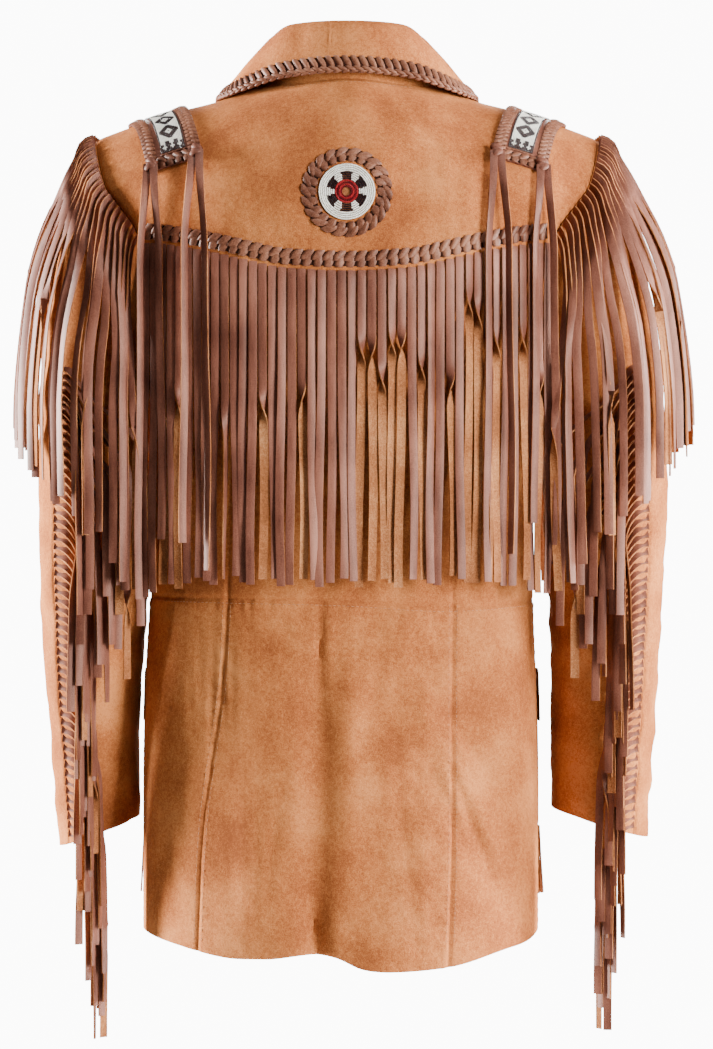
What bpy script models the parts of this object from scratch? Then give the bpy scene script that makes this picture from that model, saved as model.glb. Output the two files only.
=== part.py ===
"""A fringed suede coat in its hollow, worn form, one closed wall for each sewn piece.

Metres, +Z up. The back faces +Y, the wearer's left side is +X, and the origin is at the base
of the neck, between the shoulders. Every panel is a patch of one of two surfaces, the body and
the sleeve, which are worked out from the section tables below.
"""
import math

import bmesh
import bpy
from mathutils import Vector

# Cloth, seams and trim
WALL = 0.0015
SEAM_GAP = 0.0003
UNDERARM_GAP = 0.0005
TRIM_WALL = 0.0013
TRIM_GAP = 0.0003
LOOSE_GAP = 0.0008
BUTTON_GAP = 0.0009

# Body: nominal heights of the underarm and of the shoulder seam, and the roll over the shoulder
UNDERARM_Z = -0.26
SHOULDER_H = -0.03
ROLL = 0.16
STRAIGHT_SHARE = 0.3
POWER = 2.4
BACK = 1
FRONT = -1
LEFT = 1
RIGHT = -1

# Nominal height, half width, depth to the back, depth to the front
BODY_SECTIONS = (
    (-0.82, 0.1870, 0.131, 0.125),
    (-0.65, 0.1870, 0.127, 0.122),
    (-0.55, 0.1850, 0.124, 0.120),
    (-0.475, 0.1815, 0.122, 0.118),
    (-0.40, 0.1790, 0.126, 0.119),
    (-0.33, 0.1795, 0.133, 0.121),
    (-0.26, 0.1830, 0.138, 0.123),
    (-0.225, 0.1930, 0.140, 0.123),
    (-0.191, 0.2170, 0.141, 0.122),
    (-0.160, 0.2370, 0.141, 0.120),
    (-0.117, 0.2640, 0.139, 0.116),
    (-0.03, 0.2800, 0.135, 0.110),
)
# Nominal height, armhole on the back, armhole on the front
ARMHOLE = (
    (-0.26, 0.1830, 0.1830),
    (-0.225, 0.1840, 0.1800),
    (-0.191, 0.1870, 0.1780),
    (-0.160, 0.1935, 0.1800),
    (-0.136, 0.2120, 0.1880),
    (-0.117, 0.2250, 0.2000),
    (-0.076, 0.2345, 0.2250),
    (-0.03, 0.2375, 0.2375),
)
# Distance from the centre, height of the shoulder line
SHOULDER_LINE = (
    (0.0, 0.0345),
    (0.088, 0.0100),
    (0.125, -0.0030),
    (0.157, -0.0110),
    (0.191, -0.0216),
    (0.2375, -0.0385),
    (0.29, -0.0600),
)
# Height, sideways lean of the hang
LEAN = ((-0.82, 0.0030), (-0.55, 0.0030), (-0.40, 0.0010), (-0.15, -0.0030), (0.10, -0.0030))

# Neckline
NECK_HALF = 0.088
NECK_C = 0.36
NECK_COLUMNS = 6
NECK_BACK_DEPTH = 0.070
NECK_FRONT_SHARE = 0.93

# Column x, height of the yoke's lower edge
YOKE_EDGE = (
    (0.0, -0.1742),
    (0.060, -0.1708),
    (0.088, -0.1645),
    (0.130, -0.1545),
    (0.175, -0.1462),
    (0.210, -0.1440),
)
# Flat braid on the yoke, above its edge
BRAID_LOW = 0.0040
BRAID_HIGH = 0.0190
BRAID_END_C = 0.97
# Column x from the wearer's right to left, height of the back hem
BACK_HEM = (
    (-0.190, -0.7820),
    (-0.175, -0.7900),
    (-0.150, -0.7950),
    (-0.105, -0.8060),
    (-0.050, -0.8097),
    (-0.020, -0.8070),
    (0.004, -0.7970),
    (0.030, -0.7950),
    (0.070, -0.7988),
    (0.104, -0.7985),
    (0.162, -0.7879),
    (0.190, -0.7820),
)
FRONT_HEM = ((0.0, -0.797), (0.12, -0.795), (0.190, -0.782))
# Column x, height of the cross seam of the back
CROSS_SEAM = ((-0.185, -0.4745), (-0.1, -0.4790), (0.0, -0.4735), (0.1, -0.4715), (0.185, -0.4700))
# Height, princess seam on the wearer's left, princess seam on the right
PRINCESS_SEAMS = (
    (-0.82, 0.1320, 0.0990),
    (-0.68, 0.1260, 0.1030),
    (-0.52, 0.1060, 0.1030),
    (-0.14, 0.1050, 0.1000),
)
# Centre x, centre height, half width, half height, depth out of the back, x shift per metre of height
BACK_FOLDS = (
    (0.020, -0.640, 0.016, 0.110, -0.0070, -0.02),
    (-0.006, -0.630, 0.018, 0.100, 0.0050, 0.00),
    (0.022, -0.785, 0.014, 0.060, -0.0085, 0.05),
    (-0.050, -0.790, 0.045, 0.060, 0.0060, 0.00),
    (-0.125, -0.700, 0.016, 0.060, -0.0050, 0.55),
    (-0.120, -0.600, 0.018, 0.050, -0.0040, 0.60),
    (0.110, -0.620, 0.018, 0.120, -0.0040, 0.10),
    (0.080, -0.760, 0.030, 0.080, 0.0040, 0.00),
)
FRONT_FOLDS = (
    (0.060, -0.660, 0.018, 0.120, -0.0050, 0.10),
    (-0.070, -0.680, 0.020, 0.110, -0.0050, -0.08),
    (0.130, -0.420, 0.020, 0.080, -0.0040, 0.20),
    (-0.125, -0.440, 0.020, 0.080, -0.0040, -0.20),
)

# Front closing: the wearer's left front laps over the right one
LAP = 0.015
LAP_LIFT = 0.0027
LAP_FADE = 0.040
LAP_SLOPE = 0.016

# Sleeves
BICEP_Z = -0.30
CAP_SHARE = 0.42
CUFF_SLANT = 0.0145
# Height, outer edge, inner edge, centre y, half depth, for the wearer's left and right arm
SLEEVE_SECTIONS = {
    LEFT: (
        (-0.30, 0.2890, 0.1885, 0.000, 0.088),
        (-0.38, 0.2892, 0.1865, -0.001, 0.080),
        (-0.46, 0.2886, 0.1860, -0.004, 0.074),
        (-0.55, 0.2844, 0.1930, -0.010, 0.068),
        (-0.62, 0.2785, 0.1960, -0.021, 0.064),
        (-0.72, 0.2735, 0.1960, -0.038, 0.062),
    ),
    RIGHT: (
        (-0.30, 0.3040, 0.1890, 0.000, 0.088),
        (-0.38, 0.3065, 0.1890, -0.001, 0.080),
        (-0.46, 0.3035, 0.1940, -0.004, 0.074),
        (-0.55, 0.2985, 0.1975, -0.010, 0.068),
        (-0.62, 0.2945, 0.1980, -0.021, 0.064),
        (-0.72, 0.2900, 0.1975, -0.038, 0.062),
    ),
}
CUFF_Z = {LEFT: -0.6955, RIGHT: -0.6870}
BACK_SLEEVE_SEAM = 50.0
FRONT_SLEEVE_SEAM = -140.0

# Collar: share of the way round to the front end, fold line x, y, z, outer edge x, y, z
COLLAR = (
    (-0.25, -0.0480, 0.0460, 0.0620, -0.0594, 0.0680, 0.0141),
    (0.00, 0.0000, 0.0600, 0.0630, 0.0000, 0.0800, 0.0182),
    (0.25, 0.0480, 0.0460, 0.0620, 0.0594, 0.0680, 0.0141),
    (0.40, 0.0640, 0.0240, 0.0565, 0.0968, 0.0500, 0.0047),
    (0.50, 0.0670, 0.0060, 0.0520, 0.1166, 0.0250, 0.0010),
    (0.60, 0.0660, -0.0150, 0.0440, 0.1240, -0.0120, 0.0020),
    (0.75, 0.0580, -0.0520, 0.0240, 0.1220, -0.0600, -0.0200),
    (0.88, 0.0440, -0.0820, 0.0010, 0.1050, -0.0960, -0.0550),
    (1.00, 0.0260, -0.1080, -0.0240, 0.0780, -0.1190, -0.0980),
)
COLLAR_REACH = 10 / 12
# Share of the way down the fall, bulge out of the straight line between fold and edge
FALL_ROWS = ((0.12, 0.0030), (0.42, 0.0045), (0.71, 0.0025), (0.86, 0.0012), (1.0, 0.0))
LIP_RISE = 0.0027

# Epaulettes: middle at the shoulder line, its shift at the end, half width, turn to the end
PAD_X = 0.182
PAD_SHIFT = -0.025
PAD_HALF = 0.0254
PAD_TURN = 52.0
STRIP_A = 0.52
STRIP_B = 0.80
# Knots of the thongs on the lower corners of the pads
KNOT_B = 0.94
KNOT_PITCH = 0.0105
ROSETTE_Z = -0.1015
BEAD_RADIUS = 0.0258
BRAID_RADII = (0.0275, 0.0346, 0.0417)

# Fringe strands
STRAND_WIDTH = 0.0072
STRAND_WALL = 0.0015
STRIP_HEIGHT = 0.0035
BACK_STRANDS = 43
ARMHOLE_STRANDS = 30
ARMHOLE_REACH = 103.0
ARMHOLE_HANG_Y = 0.106
SLEEVE_STRANDS = 24
POCKET_STRANDS = 8

SUEDE = ((0.53, 0.25, 0.11), 0.95)
FRINGE = ((0.32, 0.16, 0.12), 0.6)
BRAID = ((0.27, 0.13, 0.08), 0.6)
BEADS = ((0.85, 0.83, 0.76), 0.3)
BUTTON = ((0.10, 0.05, 0.03), 0.4)


def clear_scene():
    """Remove the objects that a new file starts with."""
    for item in list(bpy.data.objects):
        bpy.data.objects.remove(item, do_unlink=True)


def read(rows, key, column):
    """Smooth value of a column of a table at a key: a cubic through the rows."""
    keys = [row[0] for row in rows]
    values = [row[column] for row in rows]
    if key <= keys[0]:
        return values[0]
    if key >= keys[-1]:
        return values[-1]
    i = max(n for n in range(len(keys) - 1) if keys[n] <= key)

    def slope(n):
        if n == 0 and keys[0] == 0.0:
            return 0.0
        low, high = max(n - 1, 0), min(n + 1, len(keys) - 1)
        if 0 < n < len(keys) - 1 and (values[n] - values[n - 1]) * (values[n + 1] - values[n]) <= 0:
            return 0.0
        return (values[high] - values[low]) / (keys[high] - keys[low])

    span = keys[i + 1] - keys[i]
    t = (key - keys[i]) / span
    ease = t * t * (3 - 2 * t)
    start, end = slope(i) * span, slope(i + 1) * span
    bend = start * t * (1 - t) ** 2 - end * t * t * (1 - t)
    return values[i] * (1 - ease) + values[i + 1] * ease + bend


def steps(count, low=0.0, high=1.0):
    """Evenly spaced values from low to high, count spaces apart."""
    return [low + (high - low) * n / count for n in range(count + 1)]


def smooth_share(value):
    """Ease from 0 to 1."""
    value = min(max(value, 0.0), 1.0)
    return value * value * (3 - 2 * value)


def fold_depth(folds, x, z):
    """Depth of the folds at a place of the body."""
    depth = 0.0
    for x0, z0, half_x, half_z, height, shift in folds:
        across = (x - x0 - shift * (z - z0)) / half_x
        along = (z - z0) / half_z
        depth += height * math.exp(-across * across - along * along)
    return depth


def body_depth(face, x, h):
    """Depth of the section at nominal height h in column x, before the shoulder's roll."""
    half = read(BODY_SECTIONS, h, 1)
    depth = read(BODY_SECTIONS, h, 2 if face == BACK else 3)
    return depth * max(1 - abs(x / half) ** POWER, 0.0) ** (1 / POWER)


def column_point(face, x, depth, h):
    """Point of the body's outer face in column x, with the shoulder rolled over to y = 0."""
    z, roll = h, 1.0
    if h > UNDERARM_Z:
        share = (h - UNDERARM_Z) / (SHOULDER_H - UNDERARM_Z)
        start = read(SHOULDER_LINE, abs(x), 1) - ROLL
        z = UNDERARM_Z + (start - UNDERARM_Z) * share / STRAIGHT_SHARE
        if share > STRAIGHT_SHARE:
            turn = (share - STRAIGHT_SHARE) / (1 - STRAIGHT_SHARE) * math.pi / 2
            z, roll = start + ROLL * math.sin(turn), math.cos(turn)
    folds = fold_depth(BACK_FOLDS if face == BACK else FRONT_FOLDS, x, z)
    out = depth * roll + folds * min(max(depth, 0.0) / 0.1, 1.0)
    if face == FRONT:
        out += LAP_LIFT * smooth_share((LAP_FADE - abs(x)) / LAP_SLOPE)
    return Vector((x + read(LEAN, z, 1), face * out, z))


def nominal_height(x, z):
    """Nominal height at which column x passes the real height z."""
    if z <= UNDERARM_Z:
        return z
    start = read(SHOULDER_LINE, abs(x), 1) - ROLL
    if z <= start:
        share = STRAIGHT_SHARE * (z - UNDERARM_Z) / (start - UNDERARM_Z)
    else:
        turn = math.asin(min((z - start) / ROLL, 1.0))
        share = STRAIGHT_SHARE + (1 - STRAIGHT_SHARE) * turn / (math.pi / 2)
    return UNDERARM_Z + share * (SHOULDER_H - UNDERARM_Z)


def column_of(face, c, h):
    """Column x and depth at the cross coordinate c: 0 centre, NECK_C at the neck, 1 at the side."""
    side = 1 if c >= 0 else -1
    share = abs(c)
    if share <= NECK_C:
        x = NECK_HALF * math.sin(math.pi / 2 * share / NECK_C)
        return side * x, body_depth(face, x, h)
    half = read(BODY_SECTIONS, h, 1)
    deep = read(BODY_SECTIONS, h, 2 if face == BACK else 3)
    edge = half
    if h > UNDERARM_Z:
        edge = min(read(ARMHOLE, h, 1 if face == BACK else 2), half)
    first = math.atan2(body_depth(face, NECK_HALF, h), NECK_HALF)
    last = math.atan2(body_depth(face, edge, h), edge)
    angle = first + (last - first) * (share - NECK_C) / (1 - NECK_C)
    radius = (abs(math.cos(angle) / half) ** POWER + abs(math.sin(angle) / deep) ** POWER) ** (-1 / POWER)
    return side * radius * math.cos(angle), radius * math.sin(angle)


def body(face, c, h):
    """Point of the body at cross coordinate c and nominal height h."""
    x, depth = column_of(face, c, h)
    return column_point(face, x, depth, h)


def outward(du, dv, point, centre):
    """Unit normal of two tangents, on the side away from a centre."""
    normal = du.cross(dv).normalized()
    return normal if normal.dot(point - centre) >= 0 else -normal


def body_normal(face, c, h):
    """Outward normal of the body."""
    here = body(face, c, h)
    du = body(face, c + 0.004, h) - body(face, c - 0.004, h)
    dv = body(face, c, h + 0.002) - body(face, c, h - 0.002)
    return outward(du, dv, here, Vector((0.0, 0.0, min(here.z, -0.12))))


def neck_top(face, c):
    """Nominal height at which the piece ends: the neckline near the centre, or the shoulder seam."""
    if abs(c) >= NECK_C:
        return SHOULDER_H
    x = NECK_HALF * math.sin(math.pi / 2 * abs(c) / NECK_C)
    rest = math.sqrt(max(1 - (x / NECK_HALF) ** 2, 0.0))
    share = NECK_FRONT_SHARE * rest
    if face == BACK:
        share = NECK_BACK_DEPTH * rest / body_depth(face, x, -0.07)
    turn = math.acos(min(share, 1.0))
    rise = STRAIGHT_SHARE + (1 - STRAIGHT_SHARE) * turn * 2 / math.pi
    return UNDERARM_Z + rise * (SHOULDER_H - UNDERARM_Z)


def cross_of(face, x, h):
    """Cross coordinate c of the column x."""
    if abs(x) <= NECK_HALF:
        return math.copysign(NECK_C * math.asin(abs(x) / NECK_HALF) * 2 / math.pi, x)
    half = read(BODY_SECTIONS, h, 1)
    edge = half if h <= UNDERARM_Z else min(read(ARMHOLE, h, 1 if face == BACK else 2), half)
    first = math.atan2(body_depth(face, NECK_HALF, h), NECK_HALF)
    last = math.atan2(body_depth(face, edge, h), edge)
    angle = math.atan2(body_depth(face, abs(x), h), abs(x))
    return math.copysign(NECK_C + (1 - NECK_C) * (first - angle) / (first - last), x)


def armhole_point(side, phi):
    """Point of the armhole: phi 0 at the shoulder tip, 90 on the back, 180 underarm, -90 in front."""
    phi = (phi + 180.0) % 360.0 - 180.0
    face = BACK if phi >= 0 else FRONT
    h = SHOULDER_H + (UNDERARM_Z - SHOULDER_H) * abs(phi) / 180.0
    return body(face, side, h)


def ring_point(side, phi, z):
    """Point of the sleeve's section at height z."""
    rows = SLEEVE_SECTIONS[side][::-1]
    outer, inner = read(rows, z, 1), read(rows, z, 2)
    turn = math.radians(phi)
    x = (outer + inner) / 2 + (outer - inner) / 2 * math.cos(turn)
    return Vector((side * x, read(rows, z, 3) + read(rows, z, 4) * math.sin(turn), z))


def cuff_height(side, phi):
    """Height of the sleeve's lower edge, higher towards the body."""
    return CUFF_Z[side] - CUFF_SLANT * math.cos(math.radians(phi))


def sleeve(side, phi, k):
    """Point of the sleeve: k 0 at the armhole, CAP_SHARE at the upper arm, 1 at the cuff."""
    if k >= CAP_SHARE:
        share = (k - CAP_SHARE) / (1 - CAP_SHARE)
        return ring_point(side, phi, BICEP_Z + (cuff_height(side, phi) - BICEP_Z) * share)
    t = k / CAP_SHARE
    start, end = armhole_point(side, phi), ring_point(side, phi, BICEP_Z)
    turn = math.radians(phi)
    lean = 0.45 * math.cos(turn)
    heading = Vector((side * (0.55 + lean), 0.35 * math.sin(turn), -0.75 + lean))
    reach = (end - start).length
    leave = heading.normalized() * 0.37 * reach
    arrive = Vector((0.0, 0.0, -0.75 * reach))
    ease = t * t * (3 - 2 * t)
    return start.lerp(end, ease) + leave * (t * (1 - t) ** 2) - arrive * (t * t * (1 - t))


def sleeve_normal(side, phi, k):
    """Outward normal of the sleeve."""
    here = sleeve(side, phi, k)
    du = sleeve(side, phi + 1.5, k) - sleeve(side, phi - 1.5, k)
    dv = sleeve(side, phi, k + 0.006) - sleeve(side, phi, max(k - 0.006, 0.0))
    normal = dv.cross(du).normalized() * side
    return normal


def armhole_seam(side, phi):
    """Direction that parts sleeve and body at the armhole, and the normal that both edges share."""
    face = BACK if phi >= 0 else FRONT
    h = SHOULDER_H + (UNDERARM_Z - SHOULDER_H) * abs(phi) / 180.0
    seam = armhole_point(side, phi)
    into_sleeve = (sleeve(side, phi, 0.02) - seam).normalized()
    into_body = (body(face, side * 0.985, min(h, SHOULDER_H)) - seam).normalized()
    if abs(phi) > 150.0:
        into_body = (into_body + Vector((0.0, 0.0, -1.0)) * (abs(phi) - 150.0) / 6.0).normalized()
    normal = body_normal(face, side * 0.995, h) + sleeve_normal(side, phi, 0.0)
    return (into_sleeve - into_body).normalized(), normal.normalized()


def parting_gap(phi):
    """Half of the gap between sleeve and body, wider under the arm where both walls run down."""
    return SEAM_GAP / 2 + UNDERARM_GAP * smooth_share((abs(phi) - 120.0) / 40.0)


def paint(name, finish):
    """Material with a colour and a roughness."""
    colour, roughness = finish
    material = bpy.data.materials.new(name)
    material.use_nodes = True
    shader = material.node_tree.nodes["Principled BSDF"]
    shader.inputs["Base Color"].default_value = (*colour, 1.0)
    shader.inputs["Roughness"].default_value = roughness
    return material


def add_object(name, mesh_data, finish):
    """Link a finished bmesh as a named object."""
    bmesh.ops.recalc_face_normals(mesh_data, faces=mesh_data.faces)
    mesh = bpy.data.meshes.new(name)
    mesh_data.to_mesh(mesh)
    mesh_data.free()
    mesh.materials.append(paint(name, finish))
    piece = bpy.data.objects.new(name, mesh)
    bpy.context.scene.collection.objects.link(piece)
    return piece


def wall(name, points, normals, thickness, finish, keep=None):
    """Closed wall: a grid of outer points, the same grid moved in, and a rim round every edge."""
    data = bmesh.new()
    layers = {}

    def corner(layer, i, j):
        if (layer, i, j) not in layers:
            place = points[i][j] - normals[i][j] * thickness * layer
            layers[layer, i, j] = data.verts.new(place)
        return layers[layer, i, j]

    edges = set()
    for i in range(len(points) - 1):
        for j in range(len(points[0]) - 1):
            if keep and not keep(i, j):
                continue
            loop = [(i, j), (i, j + 1), (i + 1, j + 1), (i + 1, j)]
            for half in (loop[:3], [loop[0], loop[2], loop[3]]):
                data.faces.new([corner(0, *place) for place in half])
                data.faces.new([corner(1, *place) for place in reversed(half)])
            edges.update(zip(loop, loop[1:] + loop[:1]))
    for start, end in edges:
        if (end, start) not in edges:
            data.faces.new([corner(0, *end), corner(0, *start), corner(1, *start), corner(1, *end)])
    return add_object(name, data, finish)


def trim_edges(points, sides):
    """Draw the named edges of a grid back by half a seam gap: l, r, b and t."""
    half = SEAM_GAP / 2
    last_row, last = len(points) - 1, len(points[0]) - 1
    for row in points:
        if "l" in sides:
            row[0] += (row[1] - row[0]).normalized() * half
        if "r" in sides:
            row[last] += (row[last - 1] - row[last]).normalized() * half
    for j in range(last + 1):
        if "b" in sides:
            points[0][j] += (points[1][j] - points[0][j]).normalized() * half
        if "t" in sides:
            points[last_row][j] += (points[last_row - 1][j] - points[last_row][j]).normalized() * half


def moved(points, normals, distance):
    """Grid moved along its normals."""
    return [[p + n * distance for p, n in zip(*rows)] for rows in zip(points, normals)]


def body_grid(face, column, columns, bands):
    """Points and normals of a body panel.

    column(s, h) gives the cross coordinate, bands hold (count, lower, upper) with heights as
    functions of the cross coordinate.
    """
    points, normals = [], []
    levels = []
    for number, (count, lower, upper) in enumerate(bands):
        levels += [(lower, upper, t) for t in steps(count)[(1 if number else 0):]]
    for lower, upper, t in levels:
        row, row_normals = [], []
        for s in columns:
            h = -0.3
            for _ in range(6):
                c = column(s, h)
                h = lower(c) * (1 - t) + upper(c) * t
            point, normal = body(face, c, h), body_normal(face, c, h)
            if abs(abs(c) - 1) < 1e-6 and h >= UNDERARM_Z - 1e-6:
                side = 1 if c > 0 else -1
                phi = face * 180.0 * (SHOULDER_H - h) / (SHOULDER_H - UNDERARM_Z)
                parting, normal = armhole_seam(side, phi)
                point -= parting * parting_gap(phi)
            row.append(point)
            row_normals.append(normal)
        points.append(row)
        normals.append(row_normals)
    return points, normals


def height_of(rows, face, signed=False):
    """Function of c that gives the nominal height of a line in a table of x and height."""

    def line(c):
        h = -0.2
        for _ in range(4):
            x = column_of(face, c, h)[0]
            h = nominal_height(x, read(rows, x if signed else abs(x), 1))
        return h

    return line


def underarm(_c):
    """Nominal height of the underarm, the same in every column."""
    return UNDERARM_Z


def yoke_columns():
    """Cross coordinates of the yoke: the neck's columns, then even ones out to the armholes."""
    half = [NECK_C * n / NECK_COLUMNS for n in range(NECK_COLUMNS + 1)]
    half += [NECK_C + (1 - NECK_C) * n / 6 for n in range(1, 6)] + [BRAID_END_C, 1.0]
    return [-c for c in half[:0:-1]] + half


def yoke_line(rise):
    """Line a distance above the yoke's lower edge."""
    return height_of([(x, z + rise) for x, z in YOKE_EDGE], BACK)


def yoke_bands():
    """Rows of the yoke: its edge, the flat braid, and the rest up to the shoulder and neck."""
    edge, low, high = yoke_line(0.0), yoke_line(BRAID_LOW), yoke_line(BRAID_HIGH)
    return [(1, edge, low), (1, low, high), (6, high, lambda c: neck_top(BACK, c))]


def upper_back_band():
    """Rows of the upper back beside the armhole."""
    return 3, underarm, yoke_line(0.0)


def front_upper_band():
    """Rows of a front beside the armhole."""
    return 9, underarm, lambda c: neck_top(FRONT, c)


def armhole_angles():
    """Angles round the armhole at which the panels have a point, from the front seam right round."""

    def angle(face, h):
        return face * 180.0 * (SHOULDER_H - h) / (SHOULDER_H - UNDERARM_Z)

    back = []
    for count, lower, upper in [upper_back_band()] + yoke_bands():
        back += [angle(BACK, h) for h in steps(count, lower(1.0), upper(1.0))[:-1]]
    count, lower, upper = front_upper_band()
    front = [angle(FRONT, h) for h in steps(count, lower(1.0), upper(1.0))]
    around = front + back[::-1]
    turn = around.index(min(around, key=lambda phi: abs(phi - FRONT_SLEEVE_SEAM)))
    return around[turn:] + [phi + 360.0 for phi in around[1:turn + 1]]


def build_yoke():
    """Back yoke and the flat braid that lies along its lower edge."""
    points, normals = body_grid(BACK, lambda s, _h: s, yoke_columns(), yoke_bands())
    braid = [row[1:-1] for row in moved(points[1:3], normals[1:3], TRIM_GAP + TRIM_WALL)]
    wall("yoke_braid", braid, [row[1:-1] for row in normals[1:3]], TRIM_WALL, BRAID)
    trim_edges(points, "bt")
    wall("back_yoke", points, normals, WALL, SUEDE)


def seam_column(low, high):
    """Cross coordinate between two edges, each a side number or a princess seam."""

    def edge(which, h):
        if which in ("left", "right"):
            return 1.0 if which == "left" else -1.0
        left = which == "seam_left"
        x = read(PRINCESS_SEAMS, h, 1 if left else 2)
        return cross_of(BACK, x if left else -x, h)

    return lambda s, h: edge(low, h) * (1 - s) + edge(high, h) * s


def build_back():
    """Six back panels below the yoke, parted by the cross seam and the princess seams."""
    hem = height_of(BACK_HEM, BACK, signed=True)
    cross = height_of(CROSS_SEAM, BACK, signed=True)
    columns = yoke_columns()
    seam = len(columns) // 2 - NECK_COLUMNS - 1
    spans = (
        ("back_side_{}_right", "right", "seam_right", 5, columns[:seam + 1]),
        ("back_centre_{}", "seam_right", "seam_left", 12, columns[seam:-seam]),
        ("back_side_{}_left", "seam_left", "left", 5, columns[-seam - 1:]),
    )
    for name, low, high, count, upper_columns in spans:
        lower = body_grid(BACK, seam_column(low, high), steps(count), [(8, hem, cross)])
        upper = body_grid(BACK, lambda s, _h: s, upper_columns, [(3, cross, underarm), upper_back_band()])
        trim_edges(lower[0], "lrt")
        trim_edges(upper[0], "lrbt")
        wall(name.format("lower"), *lower, WALL, SUEDE)
        wall(name.format("upper"), *upper, WALL, SUEDE)


def build_fronts():
    """Left and right front, lapped at the centre, each from hem to shoulder seam and neckline."""
    hem = height_of(FRONT_HEM, FRONT)
    outer = [NECK_C * n / NECK_COLUMNS for n in range(1, NECK_COLUMNS + 1)]
    outer += [NECK_C + (1 - NECK_C) * n / 6 for n in range(1, 7)]
    lap = cross_of(FRONT, LAP, -0.3)
    for name, side in (("front_left", LEFT), ("front_right", RIGHT)):
        columns = [side * c for c in [-lap, 0.0] + outer]
        bands = [(6, hem, underarm), front_upper_band()]
        points, normals = body_grid(FRONT, lambda s, _h: s, columns, bands)
        if side == RIGHT:
            for row in points:
                for j in range(3):
                    row[j] = row[j] + Vector((0.0, LAP_LIFT, 0.0))
        trim_edges(points, "rt")
        wall(name, points, normals, WALL, SUEDE)


def build_sleeves():
    """Top sleeve and under sleeve of each arm, parted at the back and front seams."""
    ks = [CAP_SHARE * t for t in (0.0, 0.1, 0.24, 0.44, 0.7, 1.0)]
    ks += [CAP_SHARE + (1 - CAP_SHARE) * t for t in steps(4)[1:]]
    around = armhole_angles()
    seam = around.index(min(around, key=lambda phi: abs(phi - BACK_SLEEVE_SEAM)))
    for suffix, side in (("left", LEFT), ("right", RIGHT)):
        for name, angles in (("sleeve_top_", around[:seam + 1]), ("sleeve_under_", around[seam:])):
            points, normals = [], []
            for k in ks:
                points.append([sleeve(side, phi, k) for phi in angles])
                normals.append([sleeve_normal(side, phi, k) for phi in angles])
            for j, phi in enumerate(angles):
                wrapped = (phi + 180.0) % 360.0 - 180.0
                parting, normals[0][j] = armhole_seam(side, wrapped)
                points[0][j] = points[0][j] + parting * parting_gap(wrapped)
            trim_edges(points, "lr")
            wall(name + suffix, points, normals, WALL, SUEDE)


def grid_normals(points, centre):
    """Normals of a grid from its own neighbours, away from a centre."""
    last_row, last = len(points) - 1, len(points[0]) - 1
    normals = []
    for i, row in enumerate(points):
        line = []
        for j, point in enumerate(row):
            du = points[i][min(j + 1, last)] - points[i][max(j - 1, 0)]
            dv = points[min(i + 1, last_row)][j] - points[max(i - 1, 0)][j]
            line.append(outward(du, dv, point, centre(point)))
        normals.append(line)
    return normals


def collar_row(share, side):
    """Fold line and outer edge of the collar at a share of the way round."""
    values = [read(COLLAR, share, column) for column in range(1, 7)]
    lean = Vector((read(LEAN, 0.0, 1), 0.0, 0.0))
    fold = Vector((side * values[0], values[1], values[2])) + lean
    edge = Vector((side * values[3], values[4], values[5])) + lean
    return fold, edge


def build_collar():
    """Collar stand, the fall that turns down over it, and the laced braid on the fall's edge."""
    places = [(-1, n / 10) for n in range(10, 0, -1)] + [(1, n / 10) for n in range(11)]
    stand_low, stand_high, falls, braids = [], [], [], []
    for side, share in places:
        around = share * COLLAR_REACH
        face = BACK if around <= 0.5 else FRONT
        c = NECK_C * (around if face == BACK else 1 - around) * 2
        seam = body(face, side * c, neck_top(face, c))
        fold, edge = collar_row(share, side)
        away = Vector((fold.x - read(LEAN, 0.0, 1), fold.y, 0.0)).normalized()
        stand_low.append(seam + Vector((0.0, 0.0, 0.0006)) - away * 0.0006)
        stand_high.append(fold - away * 0.0004)
        lip = fold + Vector((0.0, 0.0, LIP_RISE)) - away * 0.0008
        crest = fold + Vector((0.0, 0.0, LIP_RISE * 0.9)) + away * 0.0030
        run = edge - crest
        swell = run.cross(Vector((-away.y, away.x, 0.0))).normalized()
        swell = swell if swell.dot(away) > 0 else -swell
        column = [lip, crest] + [crest + run * t + swell * rise for t, rise in FALL_ROWS]
        falls.append(column)
    middle = [low.lerp(high, 0.5) for low, high in zip(stand_low, stand_high)]
    stand = [stand_low, middle, stand_high]
    centre = Vector((read(LEAN, 0.0, 1), 0.0, 0.0))
    normals = grid_normals(stand, lambda p: Vector((centre.x, centre.y, p.z)))
    wall("collar_stand", stand, normals, WALL, SUEDE)
    fall = [list(row) for row in zip(*falls)]
    normals = grid_normals(fall, lambda p: Vector((centre.x, centre.y, p.z - 0.05)))
    wall("collar_fall", fall, normals, WALL, SUEDE)
    braids = moved(fall[-3:], normals[-3:], TRIM_GAP + TRIM_WALL)
    wall("collar_braid", braids, normals[-3:], TRIM_WALL, BRAID)


def shoulder_point(x, turn):
    """Point over the shoulder in column x, turned from the ridge by degrees, back positive."""
    face = BACK if turn >= 0 else FRONT
    share = STRAIGHT_SHARE + (1 - STRAIGHT_SHARE) * (90.0 - abs(turn)) / 90.0
    h = UNDERARM_Z + share * (SHOULDER_H - UNDERARM_Z)
    return column_point(face, x, body_depth(face, x, h), h)


def pad_point(side, a, b):
    """Point of an epaulette: a across from the neck side, b along from front to back."""
    x = PAD_X + PAD_SHIFT * abs(b) + PAD_HALF * a
    return shoulder_point(side * x, PAD_TURN * b)


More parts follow.
